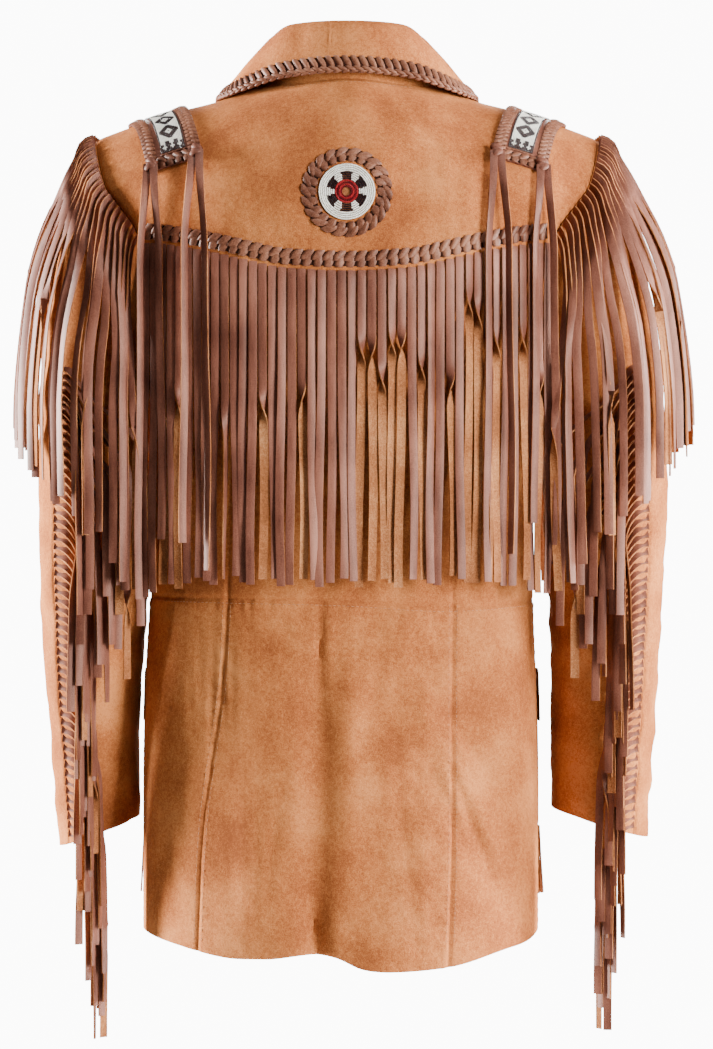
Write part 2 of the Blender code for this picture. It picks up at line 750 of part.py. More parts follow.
def pad_grid(side, across, along, lift):
    """Grid of an epaulette layer, lifted off the shoulder."""
    points = [[pad_point(side, a, b) for a in across] for b in along]
    normals = []
    for b in along:
        row = []
        for a in across:
            du = pad_point(side, a + 0.02, b) - pad_point(side, a - 0.02, b)
            dv = pad_point(side, a, b + 0.01) - pad_point(side, a, b - 0.01)
            row.append(outward(du, dv, pad_point(side, a, b), Vector((side * 0.18, 0.0, -0.15))))
        normals.append(row)
    return moved(points, normals, lift), normals


def build_epaulettes():
    """Leather pads over the shoulders, each with a braid border and a beaded strip."""
    along = steps(10, -1.0, 1.0)
    inner = [b for b in along if abs(b) < STRIP_B]
    framed = [-1.0, -STRIP_B - 0.02] + inner + [STRIP_B + 0.02, 1.0]
    strip = [-STRIP_B + 0.01] + inner + [STRIP_B - 0.01]
    pad_lift = LOOSE_GAP + TRIM_WALL
    top_lift = pad_lift + LOOSE_GAP + TRIM_WALL
    for suffix, side in (("left", LEFT), ("right", RIGHT)):
        points, normals = pad_grid(side, [-1.0, -STRIP_A, 0.0, STRIP_A, 1.0], framed, pad_lift)
        wall("epaulette_" + suffix, points, normals, TRIM_WALL, SUEDE)
        across = [-1.0, -STRIP_A - 0.02, 0.0, STRIP_A + 0.02, 1.0]
        points, normals = pad_grid(side, across, framed, top_lift)
        last = len(framed) - 2
        wall("epaulette_braid_" + suffix, points, normals, TRIM_WALL, BRAID,
             keep=lambda i, j: j in (0, 3) or i in (0, last))
        points, normals = pad_grid(side, [-STRIP_A + 0.01, 0.0, STRIP_A - 0.01], strip, top_lift)
        wall("bead_strip_" + suffix, points, normals, TRIM_WALL, BEADS)


def yoke_place(x, z):
    """Point and normal of the back yoke at a column and a real height."""
    spots = []
    for dx, dz in ((0, 0), (0.002, 0), (-0.002, 0), (0, 0.002), (0, -0.002)):
        h = nominal_height(x + dx, z + dz)
        spots.append(column_point(BACK, x + dx, body_depth(BACK, x + dx, h), h))
    normal = outward(spots[1] - spots[2], spots[3] - spots[4], spots[0], Vector((0.0, 0.0, -0.12)))
    return spots[0], normal


def build_rosette():
    """Beaded disc of the rosette and the braid ring round it."""

    def round_grid(radii, count):
        points, normals = [], []
        for radius in radii:
            row = []
            for n in range(count):
                angle = 2 * math.pi * n / count
                row.append(yoke_place(radius * math.cos(angle), ROSETTE_Z + radius * math.sin(angle)))
            points.append([place[0] for place in row])
            normals.append([place[1] for place in row])
        return points, normals

    def ring(name, radii, finish):
        count = 20
        points, normals = round_grid(radii, count)
        lift = TRIM_GAP + TRIM_WALL
        data = bmesh.new()
        layers = []
        for layer in (0, 1):
            shift = lift - TRIM_WALL * layer
            layer_rows = []
            for point_row, normal_row in zip(points, normals):
                layer_rows.append([data.verts.new(p + n * shift) for p, n in zip(point_row, normal_row)])
            layers.append(layer_rows)
        last = len(radii) - 1
        for layer in layers:
            for i in range(last):
                for n in range(count):
                    m = (n + 1) % count
                    data.faces.new([layer[i][n], layer[i][m], layer[i + 1][m], layer[i + 1][n]])
        for i in {0, last}:
            for n in range(count):
                m = (n + 1) % count
                if i == 0 and radii[0] < BEAD_RADIUS:
                    break
                data.faces.new([layers[0][i][n], layers[0][i][m], layers[1][i][m], layers[1][i][n]])
        if radii[0] < BEAD_RADIUS:
            for layer in layers:
                data.faces.new(layer[0])
        add_object(name, data, finish)

    ring("rosette_braid", BRAID_RADII, BRAID)
    ring("rosette_disc", (0.009, 0.0175, BEAD_RADIUS), BEADS)


def fringe(name, strands, rises):
    """Fringe in one body: every strand is a list of (centre, across, out), the first at its root.

    rises gives, for each strand, the way from the root to the top edge of the backing strip.
    """
    data = bmesh.new()

    def ring(frame, lift):
        centre, across, out = frame
        half = across * STRAND_WIDTH / 2
        deep = out * STRAND_WALL / 2
        corners = (-half + deep, half + deep, half - deep, -half - deep)
        return [data.verts.new(centre + corner + lift) for corner in corners]

    nothing = Vector((0.0, 0.0, 0.0))
    before = None
    for frames, rise in zip(strands, rises):
        top = ring(frames[0], rise)
        rings = [ring(frame, nothing) for frame in frames]
        for a, b in ((0, 1), (2, 3)):
            data.faces.new([top[a], top[b], rings[0][b], rings[0][a]])
        data.faces.new(top)
        for upper, lower in zip(rings, rings[1:]):
            for a in range(4):
                b = (a + 1) % 4
                data.faces.new([upper[a], upper[b], lower[b], lower[a]])
        data.faces.new(rings[-1])
        if before is None:
            data.faces.new([top[3], top[0], rings[0][0], rings[0][3]])
        else:
            old_top, old = before
            data.faces.new([old_top[1], top[0], top[3], old_top[2]])
            data.faces.new([old_top[1], top[0], rings[0][0], old[1]])
            data.faces.new([old_top[2], top[3], rings[0][3], old[2]])
            data.faces.new([old[1], rings[0][0], rings[0][3], old[2]])
        before = (top, rings[0])
    data.faces.new([before[0][1], before[0][2], before[1][2], before[1][1]])
    add_object(name, data, FRINGE)


def sway(number, scale):
    """Small fixed difference between one strand and the next."""
    return scale * math.sin(number * 2.399) * math.cos(number * 0.731 + 0.4)


def hanging_frames(root, across, drops, clearance, number):
    """Frames of a strand that hangs from a root on the back, pushed out by the cloth below it."""
    out = Vector((0.0, 0.0, 1.0)).cross(across).normalized()
    out = out if out.y > 0 else -out
    frames = [(root, across, out)]
    reach = root.y
    for drop in drops[1:]:
        z = root.z - drop
        x = root.x + sway(number, 0.0008) * drop / drops[-1]
        column = x - read(LEAN, z, 1)
        h = nominal_height(column, z)
        if abs(column) < read(BODY_SECTIONS, h, 1):
            surface = column_point(BACK, column, body_depth(BACK, column, h), h)
            reach = max(reach, surface.y + clearance)
        frames.append((Vector((x, reach, z)), across, out))
    return frames


def along_edge(edge, share):
    """Cross coordinate at a share of the length of the yoke's edge, from the centre to the armhole."""
    places = [body(BACK, c, edge(c)) for c in steps(40)]
    runs = [0.0]
    for start, end in zip(places, places[1:]):
        runs.append(runs[-1] + (end - start).length)
    target = abs(share) * runs[-1]
    n = max(i for i in range(40) if runs[i] <= target)
    c = (n + (target - runs[n]) / (runs[n + 1] - runs[n])) / 40
    return math.copysign(c, share)


def build_back_fringe():
    """Fringe out of the yoke seam: one strand in every pitch of the seam."""
    edge = height_of(YOKE_EDGE, BACK)
    lift = TRIM_GAP + STRAND_WALL / 2
    strands, rises = [], []
    for n, share in enumerate(steps(BACK_STRANDS - 1, -0.955, 0.955)):
        c = along_edge(edge, share)
        h = edge(c)
        here, normal = body(BACK, c, h), body_normal(BACK, c, h)
        across = body(BACK, c + 0.004, edge(c + 0.004)) - body(BACK, c - 0.004, edge(c - 0.004))
        across.z = 0.0
        across.normalize()
        root = here + normal * lift - Vector((0.0, 0.0, STRIP_HEIGHT + 0.001))
        length = 0.275 + 0.045 * abs(share) ** 2 + sway(n, 0.006)
        drops = [length * t for t in (0.0, 0.15, 0.5, 1.0)]
        strands.append(hanging_frames(root, across, drops, 0.0022, n))
        rises.append(Vector((0.0, 0.0, STRIP_HEIGHT)))
    fringe("back_fringe", strands, rises)


def path_frames(points, normals):
    """Frames of a strand along points, its flat side on the cloth."""
    frames = []
    last = len(points) - 1
    for i, (point, normal) in enumerate(zip(points, normals)):
        along = (points[min(i + 1, last)] - points[max(i - 1, 0)]).normalized()
        across = normal.cross(along).normalized()
        frames.append((point, across, along.cross(across).normalized()))
    return frames


def shell_point(side, phi, k, depth):
    """Point off the sleeve by a depth; past the cuff it goes straight down."""
    base = sleeve(side, phi, min(k, 1.0))
    normal = sleeve_normal(side, phi, min(k, 0.985))
    drop = Vector((0.0, 0.0, -max(k - 1.0, 0.0)))
    return base + normal * depth + drop, normal


def k_at(side, phi, k, distance):
    """Sleeve coordinate a distance further down from k; past the cuff it counts metres."""
    while distance > 1e-6 and k < 1.0:
        step = min(distance, 0.004)
        ahead = min(k + 0.004, 1.0)
        speed = (sleeve(side, phi, ahead) - sleeve(side, phi, ahead - 0.004)).length / 0.004
        k = min(k + step / speed, 1.0)
        distance -= step
    return k + max(distance, 0.0)


def build_armhole_fringe():
    """Fringe out of the armhole seam, over the sleeve's cap and down outside the sleeve."""
    marks = (0.0, 0.014, 0.036, 0.080, 1.0)
    for suffix, side in (("left", LEFT), ("right", RIGHT)):
        strands, rises = [], []
        flare = 0.018 if side == LEFT else 0.022
        for n, phi in enumerate(steps(ARMHOLE_STRANDS - 1, -ARMHOLE_REACH, ARMHOLE_REACH)):
            length = 0.290 + sway(n, 0.012)
            points, normals = [], []
            for mark in marks:
                run = mark if mark < 1.0 else length
                spread = smooth_share(run / 0.1)
                turn = phi * (1 + 0.25 * (phi / ARMHOLE_REACH) ** 2 * spread)
                k = k_at(side, turn, 0.0, run + 0.0045)
                depth = 0.0018 + flare * smooth_share(run / 0.15)
                point, normal = shell_point(side, turn, k, depth)
                if abs(phi) > 70.0:
                    share = spread * smooth_share((abs(phi) - 70.0) / 15.0)
                    point.y += (math.copysign(ARMHOLE_HANG_Y, phi) - point.y) * share
                    normal = normal.lerp(Vector((0.0, math.copysign(1.0, phi), 0.0)), share).normalized()
                points.append(point)
                normals.append(normal)
            frames = path_frames(points, normals)
            strands.append(frames)
            rises.append((points[0] - points[1]).normalized() * 0.0022)
        fringe("armhole_fringe_" + suffix, strands, rises)


def build_sleeve_fringe():
    """Fringe out of the back sleeve seam: strands swing off the seam and hang beside each other."""
    marks = (0.0, 0.014, 0.034, 0.066, 0.200)
    cycle = 6
    for suffix, side in (("left", LEFT), ("right", RIGHT)):
        strands, rises = [], []
        for n, share in enumerate(steps(SLEEVE_STRANDS - 1)):
            slot = n % cycle
            reach = 0.054 - 0.0092 * slot
            base = 0.0022 + 0.0014 * slot
            start = CAP_SHARE * 0.86 + (0.985 - CAP_SHARE * 0.86) * share
            points, normals = [], []
            for mark in marks:
                swing = reach * smooth_share(mark / 0.060)
                turn = BACK_SLEEVE_SEAM + 5.0 + swing / 0.072 * 57.3
                fall = mark - 0.35 * reach * smooth_share(mark / 0.060)
                k = k_at(side, turn, start, max(fall, 0.0))
                depth = 0.0020 + (base - 0.0020) * smooth_share(mark / 0.028) + 0.026 * mark
                point, normal = shell_point(side, turn, k, depth)
                points.append(point)
                normals.append(normal)
            frames = path_frames(points, normals)
            strands.append(frames)
            rises.append((points[0] - points[1]).normalized() * 0.0022)
        fringe("sleeve_fringe_" + suffix, strands, rises)


def build_thongs():
    """Knots on the lower corners of the epaulettes, two thongs hanging from each."""
    knots = (
        ("thongs_left_outer", LEFT, 0.80, (0.345, 0.400)),
        ("thongs_left_inner", LEFT, -0.84, (0.385, 0.360)),
        ("thongs_right_inner", RIGHT, -0.84, (0.370, 0.395)),
        ("thongs_right_outer", RIGHT, 0.80, (0.350, 0.330)),
    )
    rest = 2 * (LOOSE_GAP + TRIM_WALL) + TRIM_GAP + STRAND_WALL / 2 + 0.0002
    for name, side, a, lengths in knots:
        strands, rises = [], []
        for n, length in enumerate(lengths):
            across_pad = a + (n - 0.5) * KNOT_PITCH / PAD_HALF
            points, normals = pad_grid(side, [across_pad], [KNOT_B - 0.09, KNOT_B], rest)
            root, normal = points[1][0], normals[1][0]
            across = Vector((normal.y, -normal.x, 0.0)).normalized()
            drops = [0.0, 0.012, 0.030, 0.055, 0.085, 0.13, length]
            strands.append(hanging_frames(root, across, drops, 0.0070, n))
            rises.append(points[0][0] - root)
        if strands[0][0][0].dot(strands[0][0][1]) > strands[1][0][0].dot(strands[0][0][1]):
            strands.reverse()
            rises.reverse()
        fringe(name, strands, rises)


def front_patch(side, low, high, bottom, top, columns, rows, lift):
    """Grid on a front between two cross coordinates and two heights, moved out."""
    heights = [(rows, lambda _c: bottom, lambda _c: top)]
    points, normals = body_grid(FRONT, lambda s, _h: side * s, steps(columns, low, high), heights)
    return moved(points, normals, lift), normals


def build_pockets():
    """Patch pocket, flap and pocket fringe on each front."""
    lift = LOOSE_GAP + TRIM_WALL
    for suffix, side, low, high in (("left", LEFT, 0.46, 0.92), ("right", RIGHT, 0.50, 0.96)):
        points, normals = front_patch(side, low, high, -0.690, -0.566, 8, 5, lift)
        wall("pocket_" + suffix, points, normals, TRIM_WALL, SUEDE)
        points, normals = front_patch(side, low - 0.012, high + 0.006, -0.590, -0.540, 8, 2, 1.85 * lift)
        wall("pocket_flap_" + suffix, points, normals, TRIM_WALL, SUEDE)
        strands, rises = [], []
        for n, c in enumerate(steps(POCKET_STRANDS - 1, low + 0.02, high - 0.02)):
            root = body(FRONT, side * c, -0.6945) + body_normal(FRONT, side * c, -0.6945) * (lift - 0.0004)
            across = body(FRONT, side * (c + 0.01), -0.6945) - body(FRONT, side * (c - 0.01), -0.6945)
            across.z = 0.0
            across.normalize()
            out = Vector((across.y, -across.x, 0.0)).normalized()
            out = out if out.dot(root) > 0 else -out
            fall = out * 0.004 - Vector((0.0, 0.0, 0.062))
            frames = [(root + fall * t, across, out) for t in steps(2)]
            strands.append(frames)
            rises.append(Vector((0.0, 0.0, STRIP_HEIGHT)))
        fringe("pocket_fringe_" + suffix, strands, rises)


def build_buttons():
    """Round buttons on the lapped front edge."""
    radius, height = 0.0095, 0.0032
    for number, z in enumerate((-0.115, -0.245, -0.375, -0.505, -0.635), start=1):
        h = nominal_height(0.0, z)
        place = column_point(FRONT, 0.0, body_depth(FRONT, 0.0, h), h)
        above_h = nominal_height(0.0, z + 0.01)
        above = column_point(FRONT, 0.0, body_depth(FRONT, 0.0, above_h), above_h)
        up = (above - place).normalized()
        normal = Vector((1.0, 0.0, 0.0)).cross(up).normalized()
        normal = normal if normal.y < 0 else -normal
        data = bmesh.new()
        bmesh.ops.create_cone(data, cap_ends=True, segments=16, radius1=radius, radius2=radius * 0.86,
                              depth=height)
        turn = normal.to_track_quat("Z", "Y").to_matrix().to_4x4()
        bmesh.ops.transform(data, matrix=turn, verts=data.verts)
        bmesh.ops.translate(data, vec=place + normal * (height / 2 + BUTTON_GAP), verts=data.verts)
        add_object("button_" + str(number), data, BUTTON)


def main():
    """Build the coat."""
    clear_scene()
    build_yoke()
    build_back()
    build_fronts()
    build_sleeves()
    build_collar()
    build_epaulettes()
    build_rosette()
    build_back_fringe()
    build_armhole_fringe()
    build_sleeve_fringe()
    build_thongs()
    build_pockets()
    build_buttons()


main()
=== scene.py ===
"""The fringed suede coat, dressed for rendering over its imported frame.

Metres, +Z up. The coat is seen from the back, which faces +Y, and the wearer's left side is +X.
Every panel, braid and fringe is laid on the same body, sleeve and collar forms as the frame's
solids, at the fineness that a render needs.
"""
import logging
import math
from collections.abc import Callable
from dataclasses import dataclass
from enum import Enum

import bpy
import numpy as np
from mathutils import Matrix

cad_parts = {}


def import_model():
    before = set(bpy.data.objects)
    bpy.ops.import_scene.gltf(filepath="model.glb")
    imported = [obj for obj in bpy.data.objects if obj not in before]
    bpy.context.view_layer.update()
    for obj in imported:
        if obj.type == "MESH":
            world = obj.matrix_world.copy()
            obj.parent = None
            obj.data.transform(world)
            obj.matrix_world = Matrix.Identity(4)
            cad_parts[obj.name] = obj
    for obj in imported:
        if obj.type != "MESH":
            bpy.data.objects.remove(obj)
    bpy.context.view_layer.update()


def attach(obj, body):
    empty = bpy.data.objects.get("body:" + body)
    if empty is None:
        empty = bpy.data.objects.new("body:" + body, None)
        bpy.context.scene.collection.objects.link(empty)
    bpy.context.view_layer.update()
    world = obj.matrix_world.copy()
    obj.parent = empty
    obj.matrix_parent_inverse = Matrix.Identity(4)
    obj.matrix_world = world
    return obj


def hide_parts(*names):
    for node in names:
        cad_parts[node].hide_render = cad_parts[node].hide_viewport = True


log = logging.getLogger("coat")
Array = np.ndarray
Table = tuple[tuple[float, ...], ...]
Form = tuple[Array, list[tuple[int, ...]]]
Curve = Callable[[Array], Array]

# Distances from a seam at which a panel has a row of points
BESIDE_SEAM = (0.0007, 0.0014, 0.0022, 0.0032, 0.0046, 0.0064)


class Face(Enum):
    """Side of the body that a panel is on."""

    BACK = 1
    FRONT = -1


class Arm(Enum):
    """Arm of the wearer."""

    LEFT = 1
    RIGHT = -1

    @property
    def word(self) -> str:
        """Name of the side, as the frame's nodes end."""
        return self.name.lower()


def read(table: Table, key: Array, column: int) -> Array:
    """Smooth value of a column of a table, a cubic through its rows.

    Args:
        table: Rows with the key first.
        key: Keys to read at.
        column: Column that is read.

    Returns:
        The values, shaped like the keys.
    """
    rows = np.asarray(table, dtype=float)
    keys, values = rows[:, 0], rows[:, column]
    runs, rises = np.diff(keys), np.diff(values)
    slope = np.zeros(len(keys))
    slope[1:-1] = (values[2:] - values[:-2]) / (keys[2:] - keys[:-2])
    slope[1:-1][rises[:-1] * rises[1:] <= 0] = 0.0
    slope[0] = 0.0 if keys[0] == 0.0 else rises[0] / runs[0]
    slope[-1] = rises[-1] / runs[-1]
    key = np.clip(key, keys[0], keys[-1])
    i = np.clip(np.searchsorted(keys, key, side="right") - 1, 0, len(keys) - 2)
    t = (key - keys[i]) / runs[i]
    ease = t * t * (3 - 2 * t)
    bend = slope[i] * t * (1 - t) ** 2 - slope[i + 1] * t * t * (1 - t)
    return values[i] * (1 - ease) + values[i + 1] * ease + bend * runs[i]


def smooth(value: Array) -> Array:
    """Ease from 0 to 1."""
    value = np.clip(value, 0.0, 1.0)
    return value * value * (3 - 2 * value)


def unit(vectors: Array) -> Array:
    """Vectors of length one."""
    return vectors / np.maximum(np.linalg.norm(vectors, axis=-1, keepdims=True), 1e-12)


def bump(value: Array, half: float) -> Array:
    """Bell that is 1 at zero and has fallen off at half."""
    return np.exp(-((value / half) ** 2))


def ripple(x: Array, z: Array, size: float, seed: int) -> Array:
    """Soft uneven waves.

    Args:
        x: First coordinate.
        z: Second coordinate.
        size: Mean wave length.
        seed: Number that picks the waves.

    Returns:
        Heights between about -1 and 1.
    """
    rng = np.random.default_rng(seed)
    total = np.zeros(np.broadcast(x, z).shape)
    for _ in range(6):
        angle, phase = rng.uniform(0, 2 * math.pi, 2)
        length = size * rng.uniform(0.7, 1.5)
        total += np.sin(2 * math.pi * (x * math.cos(angle) + z * math.sin(angle)) / length + phase)
    return total / 2.6


def grid_normals(points: Array, outward: Array) -> Array:
    """Normals of a grid, on the side of a hint.

    Args:
        points: Rows and columns of points.
        outward: Vectors that point roughly outwards, one or one for each point.

    Returns:
        Unit normals.
    """
    normals = unit(np.cross(np.gradient(points, axis=1), np.gradient(points, axis=0)))
    return normals if np.sum(normals * outward) > 0 else -normals


def shares(length: float, spacing: float) -> Array:
    """Shares from 0 to 1 along a length, closer together beside a seam at each end.

    Args:
        length: Length in metres.
        spacing: Distance between neighbours away from the ends.

    Returns:
        Rising shares.
    """
    even = np.linspace(0.0, 1.0, max(int(round(length / spacing)), 2) + 1)
    near = np.array(BESIDE_SEAM) / length
    inside = even[(even > near[-1] * 1.1) & (even < 1 - near[-1] * 1.1)]
    return np.concatenate([[0.0], near, inside, 1 - near[::-1], [1.0]])


def linear(code: str) -> tuple[float, float, float, float]:
    """Linear colour of an sRGB hex code."""
    parts = [int(code[i:i + 2], 16) / 255 for i in (1, 3, 5)]
    return (*[c / 12.92 if c <= 0.04045 else ((c + 0.055) / 1.055) ** 2.4 for c in parts], 1.0)


def add_node(tree: bpy.types.NodeTree, kind: str, settings: dict | None = None, **links) -> bpy.types.Node:
    """Add a shader node with its settings and links.

    Args:
        tree: Node tree of the material.
        kind: Type of the node.
        settings: Values of its inputs by name or number, or of its attributes.
        links: Output sockets by the name of the input that they feed.

    Returns:
        The node.
    """
    made = tree.nodes.new(kind)
    for name, value in (settings or {}).items():
        if isinstance(name, int) or name in made.inputs:
            made.inputs[name].default_value = value
        else:
            setattr(made, name, value)
    for name, socket in links.items():
        tree.links.new(socket, made.inputs[int(name[1:]) if name[0] == "_" else name.replace("_", " ")])
    return made


@dataclass(frozen=True)
class Hide:
    """Leather finish: three tones, mottled, over a soft or smooth surface."""

    name: str
    dark: str
    middle: str
    light: str
    roughness: float
    sheen: float
    specular: float
    mottle: float
    speck: float
    relief: float
    streak: float = 1.0
    spread: float = 0.10

    def material(self) -> bpy.types.Material:
        """Make the material."""
        made = bpy.data.materials.new(self.name)
        made.use_nodes = True
        tree = made.node_tree
        shader = tree.nodes["Principled BSDF"]
        place = add_node(tree, "ShaderNodeTexCoord").outputs["Object"]
        drawn = add_node(tree, "ShaderNodeMapping", {"Scale": (1.0, 1.0, self.streak)},
                         Vector=place).outputs[0]
        noise = "ShaderNodeTexNoise"
        broad = add_node(tree, noise, {"Scale": 16.0, "Detail": 3.0}, Vector=place).outputs[0]
        mottle = add_node(tree, noise, {"Scale": 1 / self.mottle, "Detail": 4.0, "Roughness": 0.65},
                          Vector=drawn).outputs[0]
        speck = add_node(tree, noise, {"Scale": 1 / self.speck, "Detail": 2.0, "Roughness": 0.6},
                         Vector=place).outputs[0]
        # The tone is 1.5 parts broad clouds, 1 part mottle and 1.3 parts specks
        sum_one = add_node(tree, "ShaderNodeMath", {"operation": "MULTIPLY_ADD", 1: 1.5}, _0=broad, _2=mottle)
        sum_two = add_node(tree, "ShaderNodeMath", {"operation": "MULTIPLY_ADD", 1: 1.3}, _0=speck,
                           _2=sum_one.outputs[0])
        tone = add_node(tree, "ShaderNodeMath", {"operation": "DIVIDE", 1: 3.8}, _0=sum_two.outputs[0])
        ramp = add_node(tree, "ShaderNodeValToRGB", {}, Fac=tone.outputs[0])
        stops = ramp.color_ramp.elements
        stops[0].position, stops[0].color = 0.5 - self.spread, linear(self.dark)
        stops[1].position, stops[1].color = 0.5 + self.spread, linear(self.light)
        stops.new(0.5).color = linear(self.middle)
        tree.links.new(ramp.outputs[0], shader.inputs["Base Color"])
        height = add_node(tree, "ShaderNodeMath", {"operation": "MULTIPLY_ADD", 1: 0.6}, _0=mottle, _2=speck)
        raised = add_node(tree, "ShaderNodeBump", {"Strength": 0.6, "Distance": self.relief},
                          Height=height.outputs[0])
        tree.links.new(raised.outputs[0], shader.inputs["Normal"])
        shader.inputs["Roughness"].default_value = self.roughness
        shader.inputs["Specular IOR Level"].default_value = self.specular
        shader.inputs["Sheen Weight"].default_value = self.sheen
        shader.inputs["Sheen Roughness"].default_value = 0.45
        shader.inputs["Sheen Tint"].default_value = linear(self.light)
        shader.inputs["Specular Tint"].default_value = linear("#FFDCCB")
        return made


@dataclass(frozen=True)
class Glaze:
    """Hard glossy finish, faintly uneven in tone: seed beads, horn and waxed thread."""

    name: str
    dark: str
    light: str
    roughness: float
    coat: float
    scale: float

    def material(self) -> bpy.types.Material:
        """Make the material."""
        made = bpy.data.materials.new(self.name)
        made.use_nodes = True
        tree = made.node_tree
        shader = tree.nodes["Principled BSDF"]
        place = add_node(tree, "ShaderNodeTexCoord").outputs["Object"]
        cloud = add_node(tree, "ShaderNodeTexNoise", {"Scale": 1 / self.scale, "Detail": 2.0}, Vector=place)
        ramp = add_node(tree, "ShaderNodeValToRGB", {}, Fac=cloud.outputs[0])
        stops = ramp.color_ramp.elements
        stops[0].position, stops[0].color = 0.35, linear(self.dark)
        stops[1].position, stops[1].color = 0.65, linear(self.light)
        tree.links.new(ramp.outputs[0], shader.inputs["Base Color"])
        change = {"operation": "MULTIPLY_ADD", 1: 0.12, 2: self.roughness - 0.06}
        rough = add_node(tree, "ShaderNodeMath", change, _0=cloud.outputs[0])
        tree.links.new(rough.outputs[0], shader.inputs["Roughness"])
        shader.inputs["Coat Weight"].default_value = self.coat
        shader.inputs["Coat Roughness"].default_value = 0.12
        return made


# Split cowhide, buffed: a matt nap whose tan tone changes with the lie of the fibres
SUEDE = Hide("buffed_split_suede", "#8A4B29", "#AC6536", "#C67F49", 0.96, 0.12, 0.06, 0.0034, 0.0010, 0.0006)
# The same hide in the coat's hollow and on the cut edges, painted darker as shade for the unlit hollow, and a
# little deeper in tone
SUEDE_INSIDE_PAINTED_SHADE = Hide("suede_flesh_inside", "#5E351B", "#754526", "#8C5732", 0.97, 0.15, 0.1, 0.005, 0.0012,
                    0.0006)
# Aniline-dyed lace leather, grain side: smooth and mauve brown with a low gloss
LACE_GRAIN = Hide("aniline_lace_leather", "#4C271C", "#6F4132", "#8B5846", 0.52, 0.0, 0.42, 0.006, 0.0008,
                  0.00015, 0.12, 0.11)
# Its flesh side: speckled tan with short loose fibres
LACE_FLESH = Hide("lace_leather_flesh_side", "#6B3D22", "#945B36", "#B98055", 0.93, 0.15, 0.12, 0.002, 0.0007,
                  0.0005)
# Plaited lace: the same leather, darker where handling has burnished it
BRAID = Hide("plaited_lace_leather", "#4E2A1D", "#704431", "#906048", 0.47, 0.0, 0.38, 0.004, 0.0008, 0.0002,
             1.0, 0.10)
# Painted shade under a plait: a near-black leather colour laid where no light gets between the stitches
PLAIT_PAINTED_SHADE = Hide("painted_shade_under_plait", "#1B0C08", "#27130D", "#331A12", 0.9, 0.0, 0.1, 0.004, 0.0008,
                    0.0002)
# Opaque glass seed beads
WHITE_BEAD = Glaze("chalk_white_glass_bead", "#EDE8DA", "#FAF7EE", 0.25, 0.5, 0.004)
BLACK_BEAD = Glaze("black_brown_glass_bead", "#1F1316", "#33201F", 0.2, 0.6, 0.004)
RED_BEAD = Glaze("ruby_glass_bead", "#8E1A22", "#B32C30", 0.2, 0.6, 0.004)
DARK_RED_BEAD = Glaze("garnet_glass_bead", "#4F1118", "#6A1A20", 0.2, 0.6, 0.004)
# Polished horn, cloudy under its gloss
HORN = Glaze("polished_horn", "#241209", "#4A2A16", 0.25, 0.4, 0.006)
# Waxed sewing thread
THREAD = Glaze("waxed_thread", "#A06C42", "#B98155", 0.6, 0.0, 0.002)


class Wardrobe:
    """Materials, each made once."""

    made: dict[str, bpy.types.Material] = {}

    @classmethod
    def get(cls, finish: Hide | Glaze) -> bpy.types.Material:
        """Material of a finish."""
        if finish.name not in cls.made:
            cls.made[finish.name] = finish.material()
        return cls.made[finish.name]


class Soup:
    """Vertices and faces that gather into one mesh."""

    def __init__(self) -> None:
        """Start empty."""
        self.places: list[Array] = []
        self.faces: list[tuple[int, ...]] = []
        self.tones: list[int] = []
        self.count = 0

    def add(self, places: Array, faces: list[tuple[int, ...]], tones: list[int] | int = 0) -> None:
        """Add a closed form.

        Args:
            places: Its points.
            faces: Its faces, as numbers of its own points.
            tones: Material number of all faces, or one of each.
        """
        self.places.append(np.asarray(places).reshape(-1, 3))
        self.faces += [tuple(int(n) + self.count for n in face) for face in faces]
        self.tones += [tones] * len(faces) if isinstance(tones, int) else tones
        self.count += len(self.places[-1])

    def piece(self, name: str, finishes: list[Hide | Glaze], nodes: list[str],
              sharp: float = 40.0) -> bpy.types.Object:
        """Make the object and hand it to the frame.

        Args:
            name: Name of the piece.
            finishes: Finishes by material number.
            nodes: Frame nodes that it stands for.
            sharp: Angle in degrees past which an edge shows.

        Returns:
            The object.
        """
        mesh = bpy.data.meshes.new(name)
        mesh.from_pydata(np.concatenate(self.places).tolist(), [], self.faces)
        mesh.polygons.foreach_set("material_index", self.tones)
        for finish in finishes:
            mesh.materials.append(Wardrobe.get(finish))
        mesh.polygons.foreach_set("use_smooth", [True] * len(mesh.polygons))
        mesh.set_sharp_from_angle(angle=math.radians(sharp))
        mesh.update()
        made = bpy.data.objects.new(name, mesh)
        bpy.context.scene.collection.objects.link(made)
        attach(made, "root")
        if nodes:
            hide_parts(*nodes)
        log.info("%s: %d faces", name, len(mesh.polygons))
        return made

    def fringe(self, name: str, node: str) -> None:
        """Make a piece of cut strips, grain side and flesh side."""
        self.piece(name, [LACE_GRAIN, LACE_FLESH], [node], 50.0)

    def braid(self, name: str, node: str) -> None:
        """Make a piece of plaited lace and the dark strip under it, which is painted shade between the
        stitches.
        """
        self.piece(name, [BRAID, PLAIT_PAINTED_SHADE], [node])

    def suede(self, name: str, node: str) -> bpy.types.Object:
        """Make a piece of suede with its flesh side, which is painted darker as shade, and return it."""
        return self.piece(name, [SUEDE, SUEDE_INSIDE_PAINTED_SHADE], [node], 55.0)


def grid_faces(number: Array) -> tuple[Array, Array]:
    """Faces of a grid of numbered points, and its rim all the way round."""
    quads = np.stack([number[:-1, :-1], number[:-1, 1:], number[1:, 1:], number[1:, :-1]], -1)
    rim = np.concatenate([number[0, :], number[1:, -1], number[-1, -2::-1], number[-2:0:-1, 0]])
    return quads.reshape(-1, 4), rim


